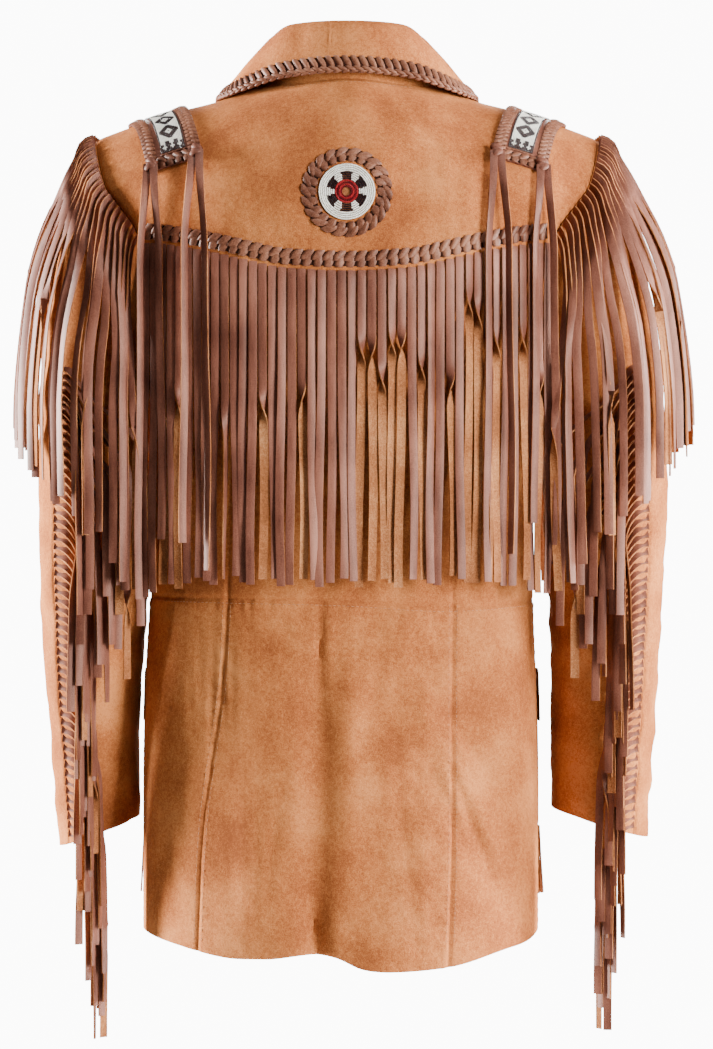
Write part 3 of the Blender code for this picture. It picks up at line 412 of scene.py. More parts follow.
def shell(soup: Soup, points: Array, normals: Array, wall: float,
          tones: tuple[int, int, int] = (0, 1, 1)) -> None:
    """Add a thin closed shell to a soup.

    Args:
        soup: Where it goes.
        points: Grid of outer points.
        normals: Grid of outward normals.
        wall: Thickness.
        tones: Material numbers of the outside, the inside and the cut edges.
    """
    high, wide = points.shape[:2]
    number = np.arange(high * wide).reshape(high, wide)
    facing = np.cross(np.gradient(points, axis=1), np.gradient(points, axis=0))
    if np.sum(facing * normals) < 0:
        points, normals = points[:, ::-1], normals[:, ::-1]
    low = number + high * wide
    quads, rim = grid_faces(number)
    under = np.stack([low[:-1, :-1], low[1:, :-1], low[1:, 1:], low[:-1, 1:]], -1).reshape(-1, 4)
    edge = [(b, a, a + high * wide, b + high * wide) for a, b in zip(rim, np.roll(rim, -1))]
    tone = [tones[0]] * len(quads) + [tones[1]] * len(under) + [tones[2]] * len(edge)
    soup.add(np.concatenate([points.reshape(-1, 3), (points - normals * wall).reshape(-1, 3)]),
             quads.tolist() + under.tolist() + edge, tone)


def edge_distance(points: Array, side: str) -> Array:
    """Distance over the cloth from one edge of a grid: l, r, b or t."""
    axis = 1 if side in "lr" else 0
    steps = np.linalg.norm(np.diff(points, axis=axis), axis=-1)
    runs = np.cumsum(steps, axis=axis)
    runs = np.concatenate([np.zeros_like(np.take(runs, [0], axis=axis)), runs], axis=axis)
    return runs if side in "lb" else np.take(runs, [-1], axis=axis) - runs


def sewn(points: Array, normals: Array, seams: str, depth: float = 0.0015, pucker: float = 0.0) -> Array:
    """Points of a panel with its sewn edges rolled in, and puckers beside them.

    Args:
        points: Grid of points.
        normals: Grid of normals.
        seams: Edges that are sewn: l, r, b and t.
        depth: Depth of the rolled edge.
        pucker: Height of the puckers.

    Returns:
        The changed grid.
    """
    sink = np.zeros(points.shape[:2])
    for side in seams:
        away = edge_distance(points, side)
        along = edge_distance(points, "b" if side in "lr" else "l")
        sink += depth * bump(away, 0.0023)
        wave = np.sin(along / 0.0105 * 2 * math.pi + 2.0 * np.sin(along / 0.027)) * bump(away - 0.006, 0.0065)
        sink += pucker * wave
    return points - normals * sink[..., None]


@dataclass
class Path:
    """Line over a surface, with the surface's normals."""

    points: Array
    normals: Array
    closed: bool = False

    def runs(self) -> Array:
        """Length from the start to each point."""
        return np.concatenate([[0.0], np.cumsum(np.linalg.norm(np.diff(self.points, axis=0), axis=-1))])

    def at(self, run: Array) -> tuple[Array, Array, Array]:
        """Point, across and normal at lengths along the line."""
        runs = self.runs()
        if self.closed:
            run = np.mod(run, runs[-1])
        step = 0.0004
        low, high = np.clip(run - step, 0, runs[-1]), np.clip(run + step, 0, runs[-1])

        def value(rows: Array, where: Array) -> Array:
            """Rows of vectors read at lengths along the line."""
            return np.stack([np.interp(where, runs, rows[:, n]) for n in range(3)], axis=-1)

        over = value(self.points, run)
        along = unit(value(self.points, high) - value(self.points, low))
        normal = unit(value(self.normals, run))
        past = np.clip(run, 0, runs[-1])
        over += along * (run - past)[..., None]
        return over, unit(np.cross(normal, along)), normal

    def lay(self, soup: Soup, places: Array, faces: list[tuple[int, ...]], starts: Array,
            tone: int = 0) -> None:
        """Lay copies of a small form along the line, bent with it.

        Args:
            soup: Where the copies go.
            places: Points of the form: along, across and up.
            faces: Its faces.
            starts: Lengths at which copies are laid.
            tone: Material number.
        """
        for start in starts:
            base, across, normal = self.at(start + places[:, 0])
            soup.add(base + across * places[:, 1:2] + normal * places[:, 2:3], faces, tone)


class Workbench:
    """Small forms that are modelled once with Blender's own tools and then copied."""

    @staticmethod
    def take() -> Form:
        """Points and faces of the active object, which is removed."""
        made = bpy.context.view_layer.objects.active
        bpy.ops.object.transform_apply(location=True, rotation=True, scale=True)
        for modifier in list(made.modifiers):
            bpy.ops.object.modifier_apply(modifier=modifier.name)
        places = np.array([vertex.co[:] for vertex in made.data.vertices])
        faces = [tuple(face.vertices) for face in made.data.polygons]
        bpy.data.objects.remove(made, do_unlink=True)
        return places, faces

    @staticmethod
    def clear() -> None:
        """Deselect everything."""
        for item in bpy.context.selected_objects:
            item.select_set(False)

    @classmethod
    def lying(cls, add: Callable, scale: tuple[float, float, float], **settings: float) -> bpy.types.Object:
        """Add a primitive whose axis lies along X, and scale it.

        Args:
            add: Blender operator that adds it.
            scale: Its scale along each axis.
            settings: Settings of the operator.

        Returns:
            The object.
        """
        cls.clear()
        add(rotation=(0, math.pi / 2, 0), **settings)
        made = bpy.context.object
        bpy.ops.object.transform_apply(location=False, rotation=True, scale=False)
        made.scale = scale
        return made

    @classmethod
    def bead(cls, length: float, width: float, height: float, sides: int) -> Form:
        """Seed bead: a short tube with rounded ends, its hole along the thread."""
        made = cls.lying(bpy.ops.mesh.primitive_cylinder_add, (length, width, height), vertices=sides,
                         radius=0.5, depth=1.0)
        bpy.ops.object.transform_apply(location=False, rotation=False, scale=True)
        round_off = made.modifiers.new("round", "BEVEL")
        round_off.width = length * 0.24
        round_off.segments = 1
        round_off.angle_limit = math.radians(60)
        return cls.take()

    @classmethod
    def stitch(cls, length: float, width: float) -> Form:
        """Stitch of thread: a short rounded bar along X."""
        cls.lying(bpy.ops.mesh.primitive_uv_sphere_add, (length, width, width), segments=6, ring_count=5,
                  radius=0.5)
        return cls.take()

    @classmethod
    def roll(cls, length: float, width: float, height: float) -> Form:
        """Turn of a twisted lace: a plump bar along X."""
        cls.lying(bpy.ops.mesh.primitive_uv_sphere_add, (length, width, height), segments=10, ring_count=8,
                  radius=0.5)
        return cls.take()

    @classmethod
    def loop(cls, radius: float, thick: float, flat: float) -> Form:
        """Loop of a knot: a flattened ring round X."""
        cls.lying(bpy.ops.mesh.primitive_torus_add, (flat, 1.0, 0.8), major_segments=20, minor_segments=8,
                  major_radius=radius, minor_radius=thick)
        return cls.take()

    @classmethod
    def button(cls, radius: float, height: float) -> Form:
        """Horn button along Z: dished face, rounded rim."""
        cls.clear()
        bpy.ops.mesh.primitive_cylinder_add(vertices=32, radius=radius, depth=height)
        made = bpy.context.object
        bpy.ops.object.mode_set(mode="EDIT")
        bpy.ops.mesh.select_mode(type="FACE")
        bpy.ops.mesh.select_all(action="DESELECT")
        bpy.ops.object.mode_set(mode="OBJECT")
        for face in made.data.polygons:
            face.select = face.normal.z > 0.9
        bpy.ops.object.mode_set(mode="EDIT")
        bpy.ops.mesh.inset(thickness=radius * 0.26)
        bpy.ops.transform.translate(value=(0, 0, -height * 0.28))
        bpy.ops.mesh.inset(thickness=radius * 0.3)
        bpy.ops.transform.translate(value=(0, 0, height * 0.08))
        bpy.ops.object.mode_set(mode="OBJECT")
        soften = made.modifiers.new("soften", "BEVEL")
        soften.width = 0.0005
        soften.segments = 2
        soften.angle_limit = math.radians(25)
        return cls.take()

    @staticmethod
    def leaf(wide: float, start: float, end: float, slant: float, height: float, base: float = 0.0002,
             lean: float = 0.35) -> Form:
        """Visible part of one stitch of a plait: a domed, slanted strap.

        Args:
            wide: Width along the plait.
            start: Across the plait, where it comes out.
            end: Across the plait, where it tucks under.
            slant: How far it runs along the plait on the way.
            height: Height of its crown.
            base: Height of its lowest edge.
            lean: Share by which one side stands higher than the other.

        Returns:
            Points and faces.
        """
        across, along = np.meshgrid(np.linspace(-1, 1, 7), np.linspace(0, 1, 8))
        width = wide / 2 * (0.66 + 0.34 * np.sin(math.pi * along) ** 0.7)
        u = across * width + slant * along
        v = start + (end - start) * along
        crown = (1 - np.abs(across) ** 3.2) * (0.35 + 0.65 * np.sin(math.pi * (0.1 + 0.75 * along)))
        w = base + height * np.clip(crown * (1 - lean * across), 0, 2)
        top = np.stack([u, v, w], -1).reshape(-1, 3)
        first = len(top)
        quads, rim = grid_faces(np.arange(first).reshape(across.shape))
        floor = top[rim] * np.array([1, 1, 0]) - np.array([0, 0, 0.0004])
        count = len(rim)
        skirt = [(rim[(n + 1) % count], rim[n], first + n, first + (n + 1) % count) for n in range(count)]
        bottom = [tuple(first + n for n in reversed(range(count)))]
        faces = [tuple(q) for q in quads.tolist()] + skirt + bottom
        if (end - start) < 0:
            faces = [tuple(reversed(face)) for face in faces]
        return np.concatenate([top, floor]), faces


@dataclass
class BodyForm:
    """Hollow form of the body: its sections, armholes, shoulder roll, hang and folds."""

    underarm: float = -0.26
    shoulder: float = -0.03
    roll: float = 0.16
    straight: float = 0.3
    power: float = 2.4
    neck_half: float = 0.088
    neck_c: float = 0.36
    neck_deep: float = 0.070
    neck_front: float = 0.93
    lap_lift: float = 0.0027
    lap_fade: float = 0.040
    lap_slope: float = 0.016
    sections: Table = (
        (-0.82, 0.1870, 0.131, 0.125), (-0.65, 0.1870, 0.127, 0.122), (-0.55, 0.1850, 0.124, 0.120),
        (-0.475, 0.1815, 0.122, 0.118), (-0.40, 0.1790, 0.126, 0.119), (-0.33, 0.1795, 0.133, 0.121),
        (-0.26, 0.1830, 0.138, 0.123), (-0.225, 0.1930, 0.140, 0.123), (-0.191, 0.2170, 0.141, 0.122),
        (-0.160, 0.2370, 0.141, 0.120), (-0.117, 0.2640, 0.139, 0.116), (-0.03, 0.2800, 0.135, 0.110),
    )
    armhole: Table = (
        (-0.26, 0.1830, 0.1830), (-0.225, 0.1840, 0.1800), (-0.191, 0.1870, 0.1780), (-0.160, 0.1935, 0.1800),
        (-0.136, 0.2120, 0.1880), (-0.117, 0.2250, 0.2000), (-0.076, 0.2345, 0.2250), (-0.03, 0.2375, 0.2375),
    )
    shoulder_line: Table = (
        (0.0, 0.0345), (0.088, 0.0100), (0.125, -0.0030), (0.157, -0.0110), (0.191, -0.0216),
        (0.2375, -0.0385), (0.29, -0.0600),
    )
    lean: Table = ((-0.82, 0.0030), (-0.55, 0.0030), (-0.40, 0.0010), (-0.15, -0.0030), (0.10, -0.0030))
    # Centre x, centre height, half width, half height, depth out of the cloth, x shift per metre
    back_folds: Table = (
        (0.020, -0.640, 0.016, 0.110, -0.0070, -0.02), (-0.006, -0.630, 0.018, 0.100, 0.0050, 0.00),
        (0.022, -0.785, 0.014, 0.060, -0.0085, 0.05), (-0.050, -0.790, 0.045, 0.060, 0.0060, 0.00),
        (-0.125, -0.700, 0.016, 0.060, -0.0050, 0.55), (-0.120, -0.600, 0.018, 0.050, -0.0040, 0.60),
        (0.110, -0.620, 0.018, 0.120, -0.0040, 0.10), (0.080, -0.760, 0.030, 0.080, 0.0040, 0.00),
    )
    front_folds: Table = (
        (0.060, -0.660, 0.018, 0.120, -0.0050, 0.10), (-0.070, -0.680, 0.020, 0.110, -0.0050, -0.08),
        (0.130, -0.420, 0.020, 0.080, -0.0040, 0.20), (-0.125, -0.440, 0.020, 0.080, -0.0040, -0.20),
    )
    # The same, sharper: creases that only the render shows
    back_creases: Table = (
        (0.0191, -0.517, 0.0032, 0.045, -0.0024, 0.00), (0.0109, -0.517, 0.0040, 0.045, 0.0020, 0.00),
        (0.0227, -0.781, 0.0045, 0.028, -0.0040, 0.06), (0.0060, -0.775, 0.0110, 0.022, 0.0030, 0.00),
        (-0.1210, -0.610, 0.0032, 0.021, -0.0026, 0.69), (-0.1140, -0.614, 0.0045, 0.022, 0.0016, 0.69),
        (-0.1210, -0.675, 0.0036, 0.042, -0.0026, 0.38), (-0.1130, -0.680, 0.0050, 0.042, 0.0016, 0.38),
        (0.1380, -0.560, 0.0026, 0.036, -0.0012, 0.05), (0.1290, -0.550, 0.0024, 0.045, -0.0014, 0.02),
        (0.1180, -0.565, 0.0026, 0.050, -0.0012, -0.03), (0.1070, -0.555, 0.0024, 0.040, -0.0013, 0.04),
        (0.0980, -0.570, 0.0026, 0.045, -0.0010, 0.02), (-0.0600, -0.700, 0.0060, 0.060, -0.0016, 0.10),
        (0.0600, -0.690, 0.0060, 0.050, -0.0014, -0.12), (-0.0300, -0.560, 0.0070, 0.040, -0.0012, -0.20),
        (0.0965, -0.006, 0.0070, 0.007, -0.0030, 0.60), (-0.0950, -0.010, 0.0080, 0.008, -0.0026, -0.60),
        (0.1050, -0.060, 0.0120, 0.030, -0.0014, 0.50), (-0.1100, -0.070, 0.0120, 0.030, -0.0014, -0.50),
    )

    def relief(self, face: Face, x: Array, z: Array) -> Array:
        """Depth of folds, creases and the hide's own waviness at a place."""
        back = face is Face.BACK
        table = self.back_folds + self.back_creases if back else self.front_folds
        depth = 0.0007 * ripple(x, z, 0.055, 3 if back else 8) + 0.0003 * ripple(x, z, 0.019, 5)
        for x0, z0, half_x, half_z, height, shift in table:
            depth = depth + height * bump(x - x0 - shift * (z - z0), half_x) * bump(z - z0, half_z)
        return depth

    def depth(self, face: Face, x: Array, h: Array) -> Array:
        """Depth of the section at nominal height h in column x."""
        half = read(self.sections, h, 1)
        deep = read(self.sections, h, 2 if face is Face.BACK else 3)
        return deep * np.maximum(1 - np.abs(x / half) ** self.power, 0.0) ** (1 / self.power)

    def column_point(self, face: Face, x: Array, depth: Array, h: Array) -> Array:
        """Point in column x with the shoulder rolled over."""
        share = (h - self.underarm) / (self.shoulder - self.underarm)
        start = read(self.shoulder_line, np.abs(x), 1) - self.roll
        turn = (share - self.straight) / (1 - self.straight) * math.pi / 2
        rolled = share > self.straight
        straight_z = self.underarm + (start - self.underarm) * share / self.straight
        z = np.where(share <= 0, h, np.where(rolled, start + self.roll * np.sin(turn), straight_z))
        ease = np.where(rolled, np.cos(turn), 1.0)
        out = depth * ease + self.relief(face, x, z) * np.clip(depth * ease / 0.1, 0.0, 1.0)
        if face is Face.FRONT:
            out = out + self.lap_lift * smooth((self.lap_fade - np.abs(x)) / self.lap_slope)
        return np.stack([x + read(self.lean, z, 1), face.value * out, z + 0.0 * x], axis=-1)

    def nominal(self, x: Array, z: Array) -> Array:
        """Nominal height at which column x passes the real height z."""
        start = read(self.shoulder_line, np.abs(x), 1) - self.roll
        below = self.straight * (z - self.underarm) / (start - self.underarm)
        turn = np.arcsin(np.clip((z - start) / self.roll, -1.0, 1.0))
        above = self.straight + (1 - self.straight) * turn / (math.pi / 2)
        share = np.where(z <= start, below, above)
        return np.where(z <= self.underarm, z, self.underarm + share * (self.shoulder - self.underarm))

    def edge(self, face: Face, h: Array) -> Array:
        """Half width of a face: to the side, or to the armhole above the underarm."""
        half = read(self.sections, h, 1)
        cut = np.minimum(read(self.armhole, h, 1 if face is Face.BACK else 2), half)
        return np.where(h > self.underarm, cut, half)

    def column_of(self, face: Face, c: Array, h: Array) -> tuple[Array, Array]:
        """Column x and depth at the cross coordinate c, which is 1 at the side."""
        share = np.abs(c)
        near = self.neck_half * np.sin(math.pi / 2 * np.minimum(share / self.neck_c, 1.0))
        half = read(self.sections, h, 1)
        deep = read(self.sections, h, 2 if face is Face.BACK else 3)
        edge = self.edge(face, h)
        first = np.arctan2(self.depth(face, self.neck_half, h), self.neck_half)
        last = np.arctan2(self.depth(face, edge, h), edge)
        angle = first + (last - first) * (share - self.neck_c) / (1 - self.neck_c)
        cosine, sine = np.abs(np.cos(angle)), np.abs(np.sin(angle))
        radius = ((cosine / half) ** self.power + (sine / deep) ** self.power) ** (-1 / self.power)
        inner = share <= self.neck_c
        x = np.where(inner, near, radius * np.cos(angle))
        depth = np.where(inner, self.depth(face, near, h), radius * np.sin(angle))
        return np.where(c >= 0, 1.0, -1.0) * x, depth

    def point(self, face: Face, c: Array, h: Array) -> Array:
        """Point at cross coordinate c and nominal height h."""
        x, depth = self.column_of(face, c, h)
        return self.column_point(face, x, depth, h)

    def place(self, face: Face, x: Array, z: Array) -> tuple[Array, Array]:
        """Point and outward normal at column x and real height z."""
        x, z = np.broadcast_arrays(np.asarray(x, float), np.asarray(z, float))

        def spot(dx: float, dz: float) -> Array:
            """Point of the surface beside the place."""
            h = self.nominal(x + dx, z + dz)
            return self.column_point(face, x + dx, self.depth(face, x + dx, h), h)

        normal = unit(np.cross(spot(0, 0.002) - spot(0, -0.002), spot(0.002, 0) - spot(-0.002, 0)))
        return spot(0, 0), normal * np.where(normal[..., 1:2] * face.value >= 0, 1, -1)

    def neck_top(self, face: Face, c: Array) -> Array:
        """Nominal height of the neckline near the centre, and of the shoulder seam past it."""
        x = self.neck_half * np.sin(math.pi / 2 * np.minimum(np.abs(c) / self.neck_c, 1.0))
        rest = np.sqrt(np.maximum(1 - (x / self.neck_half) ** 2, 0.0))
        share = self.neck_front * rest
        if face is Face.BACK:
            share = self.neck_deep * rest / self.depth(face, x, -0.07)
        turn = np.arccos(np.minimum(share, 1.0))
        rise = self.straight + (1 - self.straight) * turn * 2 / math.pi
        return np.where(np.abs(c) >= self.neck_c, self.shoulder,
                        self.underarm + rise * (self.shoulder - self.underarm))

    def cross_of(self, face: Face, x: Array, h: Array) -> Array:
        """Cross coordinate of the column x."""
        edge = self.edge(face, h)
        first = np.arctan2(self.depth(face, self.neck_half, h), self.neck_half)
        last = np.arctan2(self.depth(face, edge, h), edge)
        angle = np.arctan2(self.depth(face, np.abs(x), h), np.abs(x))
        inner = self.neck_c * np.arcsin(np.minimum(np.abs(x) / self.neck_half, 1.0)) * 2 / math.pi
        outer = self.neck_c + (1 - self.neck_c) * (first - angle) / (first - last)
        return np.sign(x) * np.where(np.abs(x) <= self.neck_half, inner, outer)

    def line(self, table: Table, face: Face, signed: bool = False, rise: float = 0.0) -> Curve:
        """Function of c that gives the nominal height of a line of x and height."""

        def height(c: Array) -> Array:
            """Nominal height of the line at cross coordinates."""
            h = np.full(np.shape(c), -0.2)
            for _ in range(4):
                x = self.column_of(face, c, h)[0]
                h = self.nominal(x, read(table, x if signed else np.abs(x), 1) + rise)
            return h

        return height

    def panel(self, face: Face, column: Callable[[Array, Array], Array], across: Array, lower: Curve,
              upper: Curve, along: Array) -> Array:
        """Grid of points of a panel.

        Args:
            face: Side of the body.
            column: Function of share and height that gives the cross coordinate.
            across: Shares across the panel.
            lower: Function of c that gives its lower edge.
            upper: Function of c that gives its upper edge.
            along: Shares up the panel.

        Returns:
            Rows and columns of points.
        """
        s, t = np.meshgrid(across, along)
        h = np.full(s.shape, -0.3)
        c = s
        for _ in range(6):
            c = column(s, h)
            h = lower(c) * (1 - t) + upper(c) * t
        return self.point(face, c, h)

    def armhole_point(self, side: int, phi: Array) -> Array:
        """Point of the armhole: 0 at the shoulder tip, 90 on the back, 180 underarm, -90 in front."""
        phi = np.mod(phi + 180.0, 360.0) - 180.0
        h = self.shoulder + (self.underarm - self.shoulder) * np.abs(phi) / 180.0
        c = np.full(np.shape(phi), float(side))
        back, front = self.point(Face.BACK, c, h), self.point(Face.FRONT, c, h)
        return np.where((phi >= 0)[..., None], back, front)


@dataclass
class SleeveForm:
    """Hollow form of a sleeve, from the armhole to the cuff."""

    body: BodyForm
    side: int
    bicep: float = -0.30
    cap: float = 0.42
    slant: float = 0.0145
    cuffs: tuple[float, float] = (-0.6955, -0.6870)
    # Height, outer edge, inner edge, centre y, half depth
    left: Table = (
        (-0.72, 0.2735, 0.1960, -0.038, 0.062), (-0.62, 0.2785, 0.1960, -0.021, 0.064),
        (-0.55, 0.2844, 0.1930, -0.010, 0.068), (-0.46, 0.2886, 0.1860, -0.004, 0.074),
        (-0.38, 0.2892, 0.1865, -0.001, 0.080), (-0.30, 0.2890, 0.1885, 0.000, 0.088),
    )
    right: Table = (
        (-0.72, 0.2900, 0.1975, -0.038, 0.062), (-0.62, 0.2945, 0.1980, -0.021, 0.064),
        (-0.55, 0.2985, 0.1975, -0.010, 0.068), (-0.46, 0.3035, 0.1940, -0.004, 0.074),
        (-0.38, 0.3065, 0.1890, -0.001, 0.080), (-0.30, 0.3040, 0.1890, 0.000, 0.088),
    )

    def ring(self, phi: Array, z: Array) -> Array:
        """Point of the section at height z."""
        rows = self.left if self.side > 0 else self.right
        outer, inner, turn = read(rows, z, 1), read(rows, z, 2), np.radians(phi)
        x = (outer + inner) / 2 + (outer - inner) / 2 * np.cos(turn)
        y = read(rows, z, 3) + read(rows, z, 4) * np.sin(turn)
        return np.stack([self.side * x, y, z + 0 * x], axis=-1)

    def bare(self, phi: Array, k: Array) -> Array:
        """Point without its folds: k 0 at the armhole, cap at the upper arm, 1 at the cuff."""
        phi, k = np.broadcast_arrays(np.asarray(phi, float), np.asarray(k, float))
        turn = np.radians(phi)
        cuff = self.cuffs[0 if self.side > 0 else 1] - self.slant * np.cos(turn)
        down = np.clip((k - self.cap) / (1 - self.cap), 0, 1)
        tube = self.ring(phi, self.bicep + (cuff - self.bicep) * down)
        t = np.clip(k / self.cap, 0.0, 1.0)[..., None]
        start, end = self.body.armhole_point(self.side, phi), self.ring(phi, np.full(phi.shape, self.bicep))
        heading = np.stack([self.side * (0.55 + 0.45 * np.cos(turn)), 0.35 * np.sin(turn),
                            -0.75 + 0.45 * np.cos(turn)], axis=-1)
        reach = np.linalg.norm(end - start, axis=-1, keepdims=True)
        leave = unit(heading) * 0.37 * reach
        arrive = np.concatenate([0 * reach, 0 * reach, -0.75 * reach], axis=-1)
        ease = t * t * (3 - 2 * t)
        cap = start * (1 - ease) + end * ease + leave * (t * (1 - t) ** 2) - arrive * (t * t * (1 - t))
        return np.where((k >= self.cap)[..., None], tube, cap)

    def normal(self, phi: Array, k: Array) -> Array:
        """Outward normal."""
        around = self.bare(phi + 1.5, k) - self.bare(phi - 1.5, k)
        down = self.bare(phi, np.minimum(k + 0.006, 1.0)) - self.bare(phi, np.maximum(k - 0.006, 0.0))
        return unit(np.cross(down, around)) * self.side

    def point(self, phi: Array, k: Array) -> Array:
        """Point with the sleeve's own soft folds."""
        place = self.bare(phi, k)
        z = place[..., 2]
        arc = np.radians(phi) * 0.055
        fold = 0.0009 * ripple(arc, z, 0.06, 21 + self.side) + 0.0004 * ripple(arc, z, 0.022, 31 + self.side)
        elbow = bump(z + 0.47, 0.06) * bump(phi - 150, 70)
        fold = fold + 0.0011 * elbow * np.sin(z / 0.034 * 2 * math.pi + 0.03 * phi)
        ease = smooth(k / 0.12)[..., None]
        return place + self.normal(phi, k) * fold[..., None] * ease

    def k_after(self, phi: Array, start: Array, run: Array) -> Array:
        """Sleeve coordinate a distance further down; past the cuff it counts metres."""
        ks = np.linspace(0.0, 1.0, 90)
        angles = np.atleast_1d(phi)
        grid = self.bare(np.repeat(angles[:, None], len(ks), axis=1), np.tile(ks, (len(angles), 1)))
        lengths = np.linalg.norm(np.diff(grid, axis=1), axis=-1)
        runs = np.concatenate([np.zeros((len(grid), 1)), np.cumsum(lengths, axis=1)], axis=1)
        found = np.empty(len(grid))
        for i, row in enumerate(runs):
            goal = np.interp(start, ks, row) + np.broadcast_to(run, found.shape)[i]
            found[i] = np.interp(goal, row, ks) + max(goal - row[-1], 0.0)
        return found

    def back_y(self, x: Array, z: Array) -> Array:
        """Depth of the sleeve's back at a place; beside and below the sleeve it stays level."""
        rows = self.left if self.side > 0 else self.right
        z = np.clip(z, -0.70, self.bicep)
        outer, inner = read(rows, z, 1), read(rows, z, 2)
        cosine = np.clip((self.side * x - (outer + inner) / 2) / ((outer - inner) / 2), -1.0, 1.0)
        return read(rows, z, 3) + read(rows, z, 4) * np.sqrt(1 - cosine ** 2)

    def off(self, phi: Array, k: Array, depth: Array) -> tuple[Array, Array]:
        """Point off the sleeve by a depth, and the normal there; past the cuff it goes straight down."""
        normal = self.normal(phi, np.minimum(k, 0.985))
        place = self.bare(phi, np.minimum(k, 1.0)) + normal * np.asarray(depth)[..., None]
        place[..., 2] -= np.maximum(k - 1.0, 0.0)
        return place, normal


@dataclass
class Seams:
    """Lines that part the body's panels, shared by panels, stitching and fringe."""

    yoke: Table = ((0.0, -0.1742), (0.060, -0.1708), (0.088, -0.1645), (0.130, -0.1545), (0.175, -0.1462),
                   (0.210, -0.1440))
    back_hem: Table = (
        (-0.190, -0.7820), (-0.175, -0.7900), (-0.150, -0.7950), (-0.105, -0.8060), (-0.050, -0.8097),
        (-0.020, -0.8070), (0.004, -0.7970), (0.030, -0.7950), (0.070, -0.7988), (0.104, -0.7985),
        (0.162, -0.7879), (0.190, -0.7820),
    )
    front_hem: Table = ((0.0, -0.797), (0.12, -0.795), (0.190, -0.782))
    cross: Table = ((-0.185, -0.4745), (-0.1, -0.4790), (0.0, -0.4735), (0.1, -0.4715), (0.185, -0.4700))
    princess: Table = ((-0.82, 0.1320, 0.0990), (-0.68, 0.1260, 0.1030), (-0.52, 0.1060, 0.1030),
                       (-0.14, 0.1050, 0.1000))


